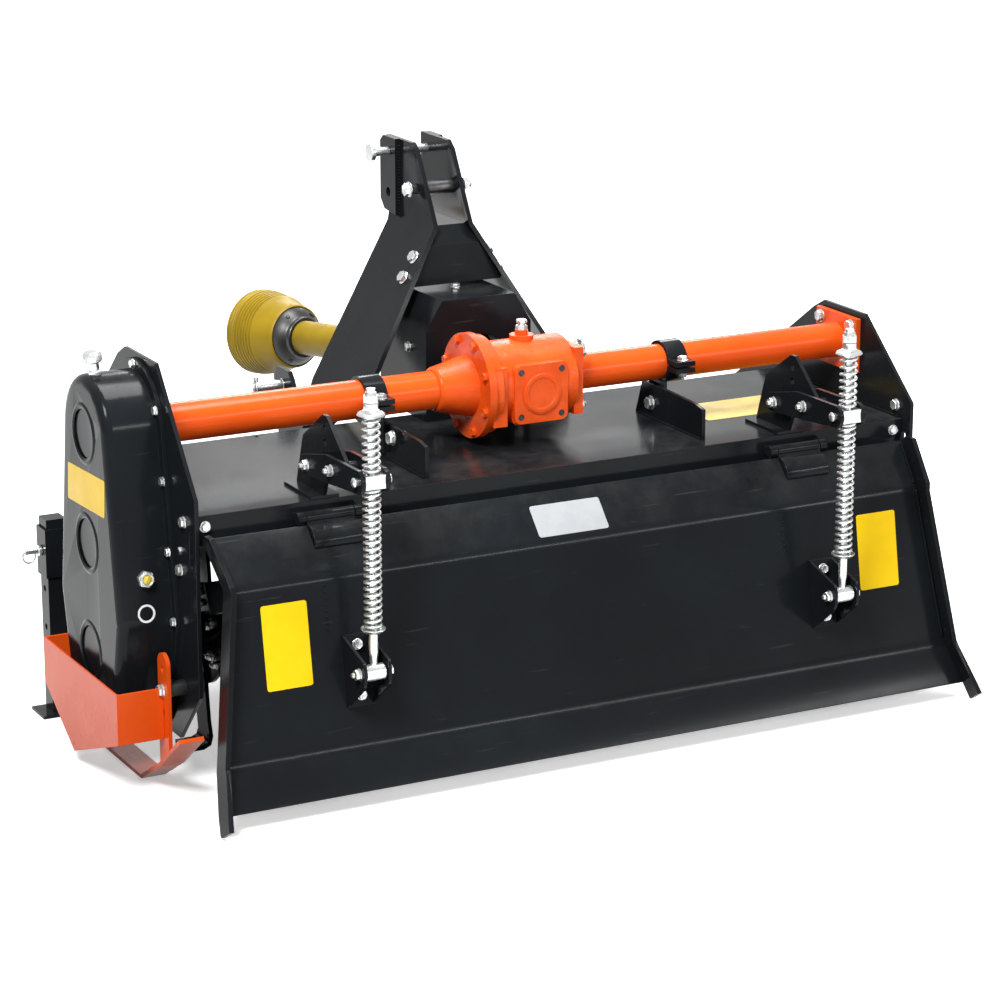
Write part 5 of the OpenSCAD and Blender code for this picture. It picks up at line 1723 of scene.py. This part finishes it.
@dataclass
class Driveline:
    """Ribbed guard cones and collars of the drive shaft."""

    joint: tuple[float, float, float] = (25.0, 215.0, 654.0)
    aim: tuple[float, float, float] = (-0.2241, 0.9707, -0.0872)
    ribs: int = 9
    pitch: float = 8.4
    first_rib: float = 42.0

    def spot(self, along: float, back: bool = False) -> Spot:
        """Find a place on the shaft's axis.

        Args:
            along: Distance from the joint in millimetres.
            back: Whether it looks back to the joint.

        Returns:
            The spot.
        """
        aim = Vector(self.aim).normalized()
        return Spot(at(*self.joint) + aim * along * MM, -aim if back else aim)

    def build(self) -> None:
        """Make both ends."""
        for end, along, rim, back in (("front", 610.0, 93.0, False), ("rear", 150.0, 84.0, True)):
            cone = Bench.move(self.cone(f"{end}_bell", rim), self.spot(along, back))
            Bench.dress(cone, GUARD, "frame", f"{end}_cone", angle=50.0)
            collar = Bench.move(self.collar(f"{end}_hub"), self.spot(along, back))
            Bench.dress(collar, COLLAR, "frame", f"{end}_collar", angle=40.0)

    def cone(self, name: str, rim: float) -> bpy.types.Object:
        """Turn a bell with ribs towards its open end.

        Args:
            name: The object's name.
            rim: Radius of its open end.

        Returns:
            The bell.
        """
        outer = [(62.0, -9.0), (66.5, -12.0), (69.0, -10.0), (71.0, 0.0), (74.0, 12.0), (78.0, 26.0),
                 (82.0, 38.0)]
        for n in range(self.ribs):
            z = self.first_rib + n * self.pitch
            mean = 82.5 + (rim - 83.5) * min(1.0, (n + 1) / self.ribs * 1.3)
            outer += [(mean + 0.8, z), (mean + 1.4, z + 2.4), (mean + 0.8, z + 4.8), (mean - 1.6, z + 6.0),
                      (mean - 1.6, z + 7.2)]
        outer += [(rim + 0.6, 118.0), (rim, 120.0), (rim - 2.4, 120.0)]
        inner = [(rim - 3.4, 118.0), (79.0, 40.0), (68.0, 2.0), (62.0, -9.0)]
        return Bench.lathe(name, outer + inner, 56)

    @staticmethod
    def collar(name: str) -> bpy.types.Object:
        """Turn a dished collar with a hub ring, and put slots and small screws in its face.

        Args:
            name: The object's name.

        Returns:
            The collar.
        """
        body = Bench.lathe(name, [
            (37.4, -44), (43.0, -44), (44.6, -42.4), (44.6, -36), (46.0, -34), (50.0, -31), (56.0, -25),
            (61.0, -18), (64.6, -11), (66.0, -4), (66.0, 0), (37.4, 0), (37.4, -44)], 56)
        screw = Bench.lathe("screw", [(4.6, 0), (4.6, 1.6), (3.8, 2.4), (1.4, 2.4), (1.2, 1.4), (0, 1.4)], 16)
        slot = Bench.block("slot", Vector((-0.007, -0.003, -0.0005)), Vector((0.007, 0.003, 0.0022)), 0.8)
        slope = Vector((0.7, 0.0, -0.7))
        parts = [body]
        for pattern, turn in ((screw, -60.0), (slot, -130.0), (screw, 60.0), (slot, 130.0)):
            spin = Matrix.Rotation(math.radians(turn), 3, "Z")
            parts += Bench.stamp(pattern, [Spot(spin @ Vector((0.0566, 0.0, -0.0242)), spin @ slope)])
        Bench.drop(screw, slot)
        return Bench.join(name, parts)


@dataclass
class RotorTrim:
    """Bolts of the tines on the rotor's flanges and of its right bearing."""

    hardware: Hardware
    axle_z: float = 240.0
    reach: float = 670.0
    flanges: int = 6
    tines: int = 6
    rows: tuple[float, ...] = (62.0, 85.0)
    bearing_ring: float = 58.0

    def build(self) -> None:
        """Bolt the tines and the bearing."""
        heads, nuts = [], []
        for flange in range(self.flanges):
            x = -self.reach + 2 * self.reach * flange / (self.flanges - 1)
            for tine in range(self.tines):
                side = 1 if tine % 2 == 0 else -1
                turn = math.radians(360 / self.tines * (tine + flange / self.flanges))
                for r in self.rows:
                    y, z = -r * math.sin(turn), self.axle_z + r * math.cos(turn)
                    heads.append(Spot(at(x + side * 11, y, z), RIGHT * side))
                    nuts.append(Spot(at(x - side * 4, y, z), LEFT * side))
        self.hardware.fit("tine_bolts", Fastener.BOLT, 9.0, heads, ZINC, "rotor")
        self.hardware.fit("tine_nuts", Fastener.NUT, 9.0, nuts, ZINC, "rotor")
        turns = [math.pi * (n + 0.5) / 2 for n in range(4)]
        far = self.bearing_ring
        ring = [(far * math.cos(a), self.axle_z + far * math.sin(a)) for a in turns]
        self.hardware.fit("bearing_bolts", Fastener.BOLT, 11.0, [Spot(at(770, y, z), LEFT) for y, z in ring])
        self.hardware.fit("bearing_nuts", Fastener.NUT, 11.0, [Spot(at(788, y, z), RIGHT) for y, z in ring])


@dataclass
class Studio:
    """Pale floor, soft lamps and the camera at the photograph's angle."""

    eye: tuple[float, float, float] = (-2964.0, -5638.0, 2242.0)
    yaw: float = 27.55
    pitch: float = 15.98
    lens: float = 118.8
    sensor: float = 36.0
    floor_size: float = 60.0
    fade: tuple[float, float] = (0.9, 3.2)
    lift: tuple[float, float] = (0.44, 0.95)
    tones: tuple[float, float] = (0.3, 0.9)
    daylight: tuple[float, float] = (0.14, 1.0)
    aim: tuple[float, float, float] = (0.0, 0.0, 0.45)

    def build(self) -> None:
        """Make the floor, the light and the camera."""
        self.floor()
        self.sky()
        self.lamp("key_softbox", (-3.0, -2.9, 4.4), (1.6, 1.6), 375.0)
        self.lamp("rear_strip", (2.4, -5.2, 2.35), (6.0, 0.35), 150.0)
        self.lamp("top_softbox", (0.4, 0.2, 4.6), (2.6, 1.4), 235.0)
        self.lamp("front_softbox", (2.6, 4.8, 3.4), (2.4, 1.4), 110.0)
        self.camera()

    def floor(self) -> None:
        """Lay the pale floor, which shows as the background does and keeps the shadow."""
        Bench.clear()
        bpy.ops.mesh.primitive_plane_add(size=self.floor_size, location=(0, 0, -0.0002))
        floor = bpy.context.object
        floor.name = "studio_floor"
        mat = bpy.data.materials.new("studio_floor")
        mat.use_nodes = True
        tree = mat.node_tree
        shader = tree.nodes["Principled BSDF"]
        tone = tree.nodes.new("ShaderNodeMix")
        tone.data_type = "RGBA"
        for slot, grey in zip("AB", self.tones):
            tone.inputs[slot].default_value = (grey, grey, grey, 1.0)
        tree.links.new(self.seen(tree), tone.inputs["Factor"])
        tree.links.new(tone.outputs["Result"], shader.inputs["Base Color"])
        shader.inputs["Roughness"].default_value = 0.9
        shader.inputs["Specular IOR Level"].default_value = 0.1
        shader.inputs["Emission Color"].default_value = (1.0, 1.0, 1.0, 1.0)
        place = tree.nodes.new("ShaderNodeTexCoord")
        away = tree.nodes.new("ShaderNodeVectorMath")
        away.operation = "LENGTH"
        tree.links.new(place.outputs["Object"], away.inputs[0])
        fade = tree.nodes.new("ShaderNodeMapRange")
        fade.interpolation_type = "SMOOTHSTEP"
        for slot, value in zip(("From Min", "From Max", "To Min", "To Max"), (*self.fade, *self.lift)):
            fade.inputs[slot].default_value = value
        tree.links.new(away.outputs["Value"], fade.inputs["Value"])
        level = EffectShop.maths(tree, "MULTIPLY", self.seen(tree), fade.outputs["Result"])
        tree.links.new(level, shader.inputs["Emission Strength"])
        floor.data.materials.append(mat)

    @staticmethod
    def seen(tree: bpy.types.NodeTree) -> bpy.types.NodeSocket:
        """Tell the rays that show the backdrop from those that only carry light.

        Args:
            tree: The nodes that take the switch.

        Returns:
            The socket: 1 for a ray that is seen, mirrored or passed through, else 0.
        """
        path = tree.nodes.new("ShaderNodeLightPath")
        result = path.outputs["Is Camera Ray"]
        for ray in ("Is Glossy Ray", "Is Transmission Ray"):
            result = EffectShop.maths(tree, "MAXIMUM", result, path.outputs[ray])
        return result

    def sky(self) -> None:
        """Light the scene evenly and show white behind it."""
        world = bpy.data.worlds.new("studio_sky")
        bpy.context.scene.world = world
        world.use_nodes = True
        tree = world.node_tree
        back = tree.nodes["Background"]
        back.inputs["Color"].default_value = (1.0, 1.0, 1.0, 1.0)
        level = tree.nodes.new("ShaderNodeMapRange")
        level.inputs["To Min"].default_value, level.inputs["To Max"].default_value = self.daylight
        tree.links.new(self.seen(tree), level.inputs["Value"])
        tree.links.new(level.outputs["Result"], back.inputs["Strength"])

    def lamp(self, name: str, place: tuple[float, float, float], size: tuple[float, float],
             watts: float) -> None:
        """Hang a soft box that looks at the middle of the part.

        Args:
            name: The lamp's name.
            place: Where it hangs, in metres.
            size: Its width and height in metres.
            watts: Its power.
        """
        data = bpy.data.lights.new(name, "AREA")
        data.energy = watts
        data.shape = "RECTANGLE"
        data.size, data.size_y = size
        lamp = bpy.data.objects.new(name, data)
        bpy.context.scene.collection.objects.link(lamp)
        lamp.location = place
        lamp.rotation_euler = (Vector(self.aim) - lamp.location).to_track_quat("-Z", "Y").to_euler()

    def camera(self) -> None:
        """Set the camera where the photograph was taken from."""
        data = bpy.data.cameras.new("photo_camera")
        data.lens = self.lens
        data.sensor_width = self.sensor
        data.clip_end = 100.0
        camera = bpy.data.objects.new("photo_camera", data)
        bpy.context.scene.collection.objects.link(camera)
        camera.location = at(*self.eye)
        camera.rotation_euler = (math.radians(90 - self.pitch), 0.0, math.radians(-self.yaw))
        bpy.context.scene.camera = camera


def main() -> None:
    """Build the studio, then the part's sub-assemblies in order."""
    logging.basicConfig(level=logging.INFO, format="%(message)s")
    bpy.context.scene.view_settings.view_transform = "Standard"
    Studio().build()
    Skin().build()
    hardware = Hardware()
    trims = (GearCaseTrim, SkidTrim, BeamTrim, GearboxTrim, MastTrim, DeckTrim, SpringGear, TailgateTrim,
             RotorTrim)
    for part in trims:
        part(hardware).build()
        LOG.info("%s done", part.__name__)
    Driveline().build()
    hardware.clear()


if __name__ == "__main__":
    main()
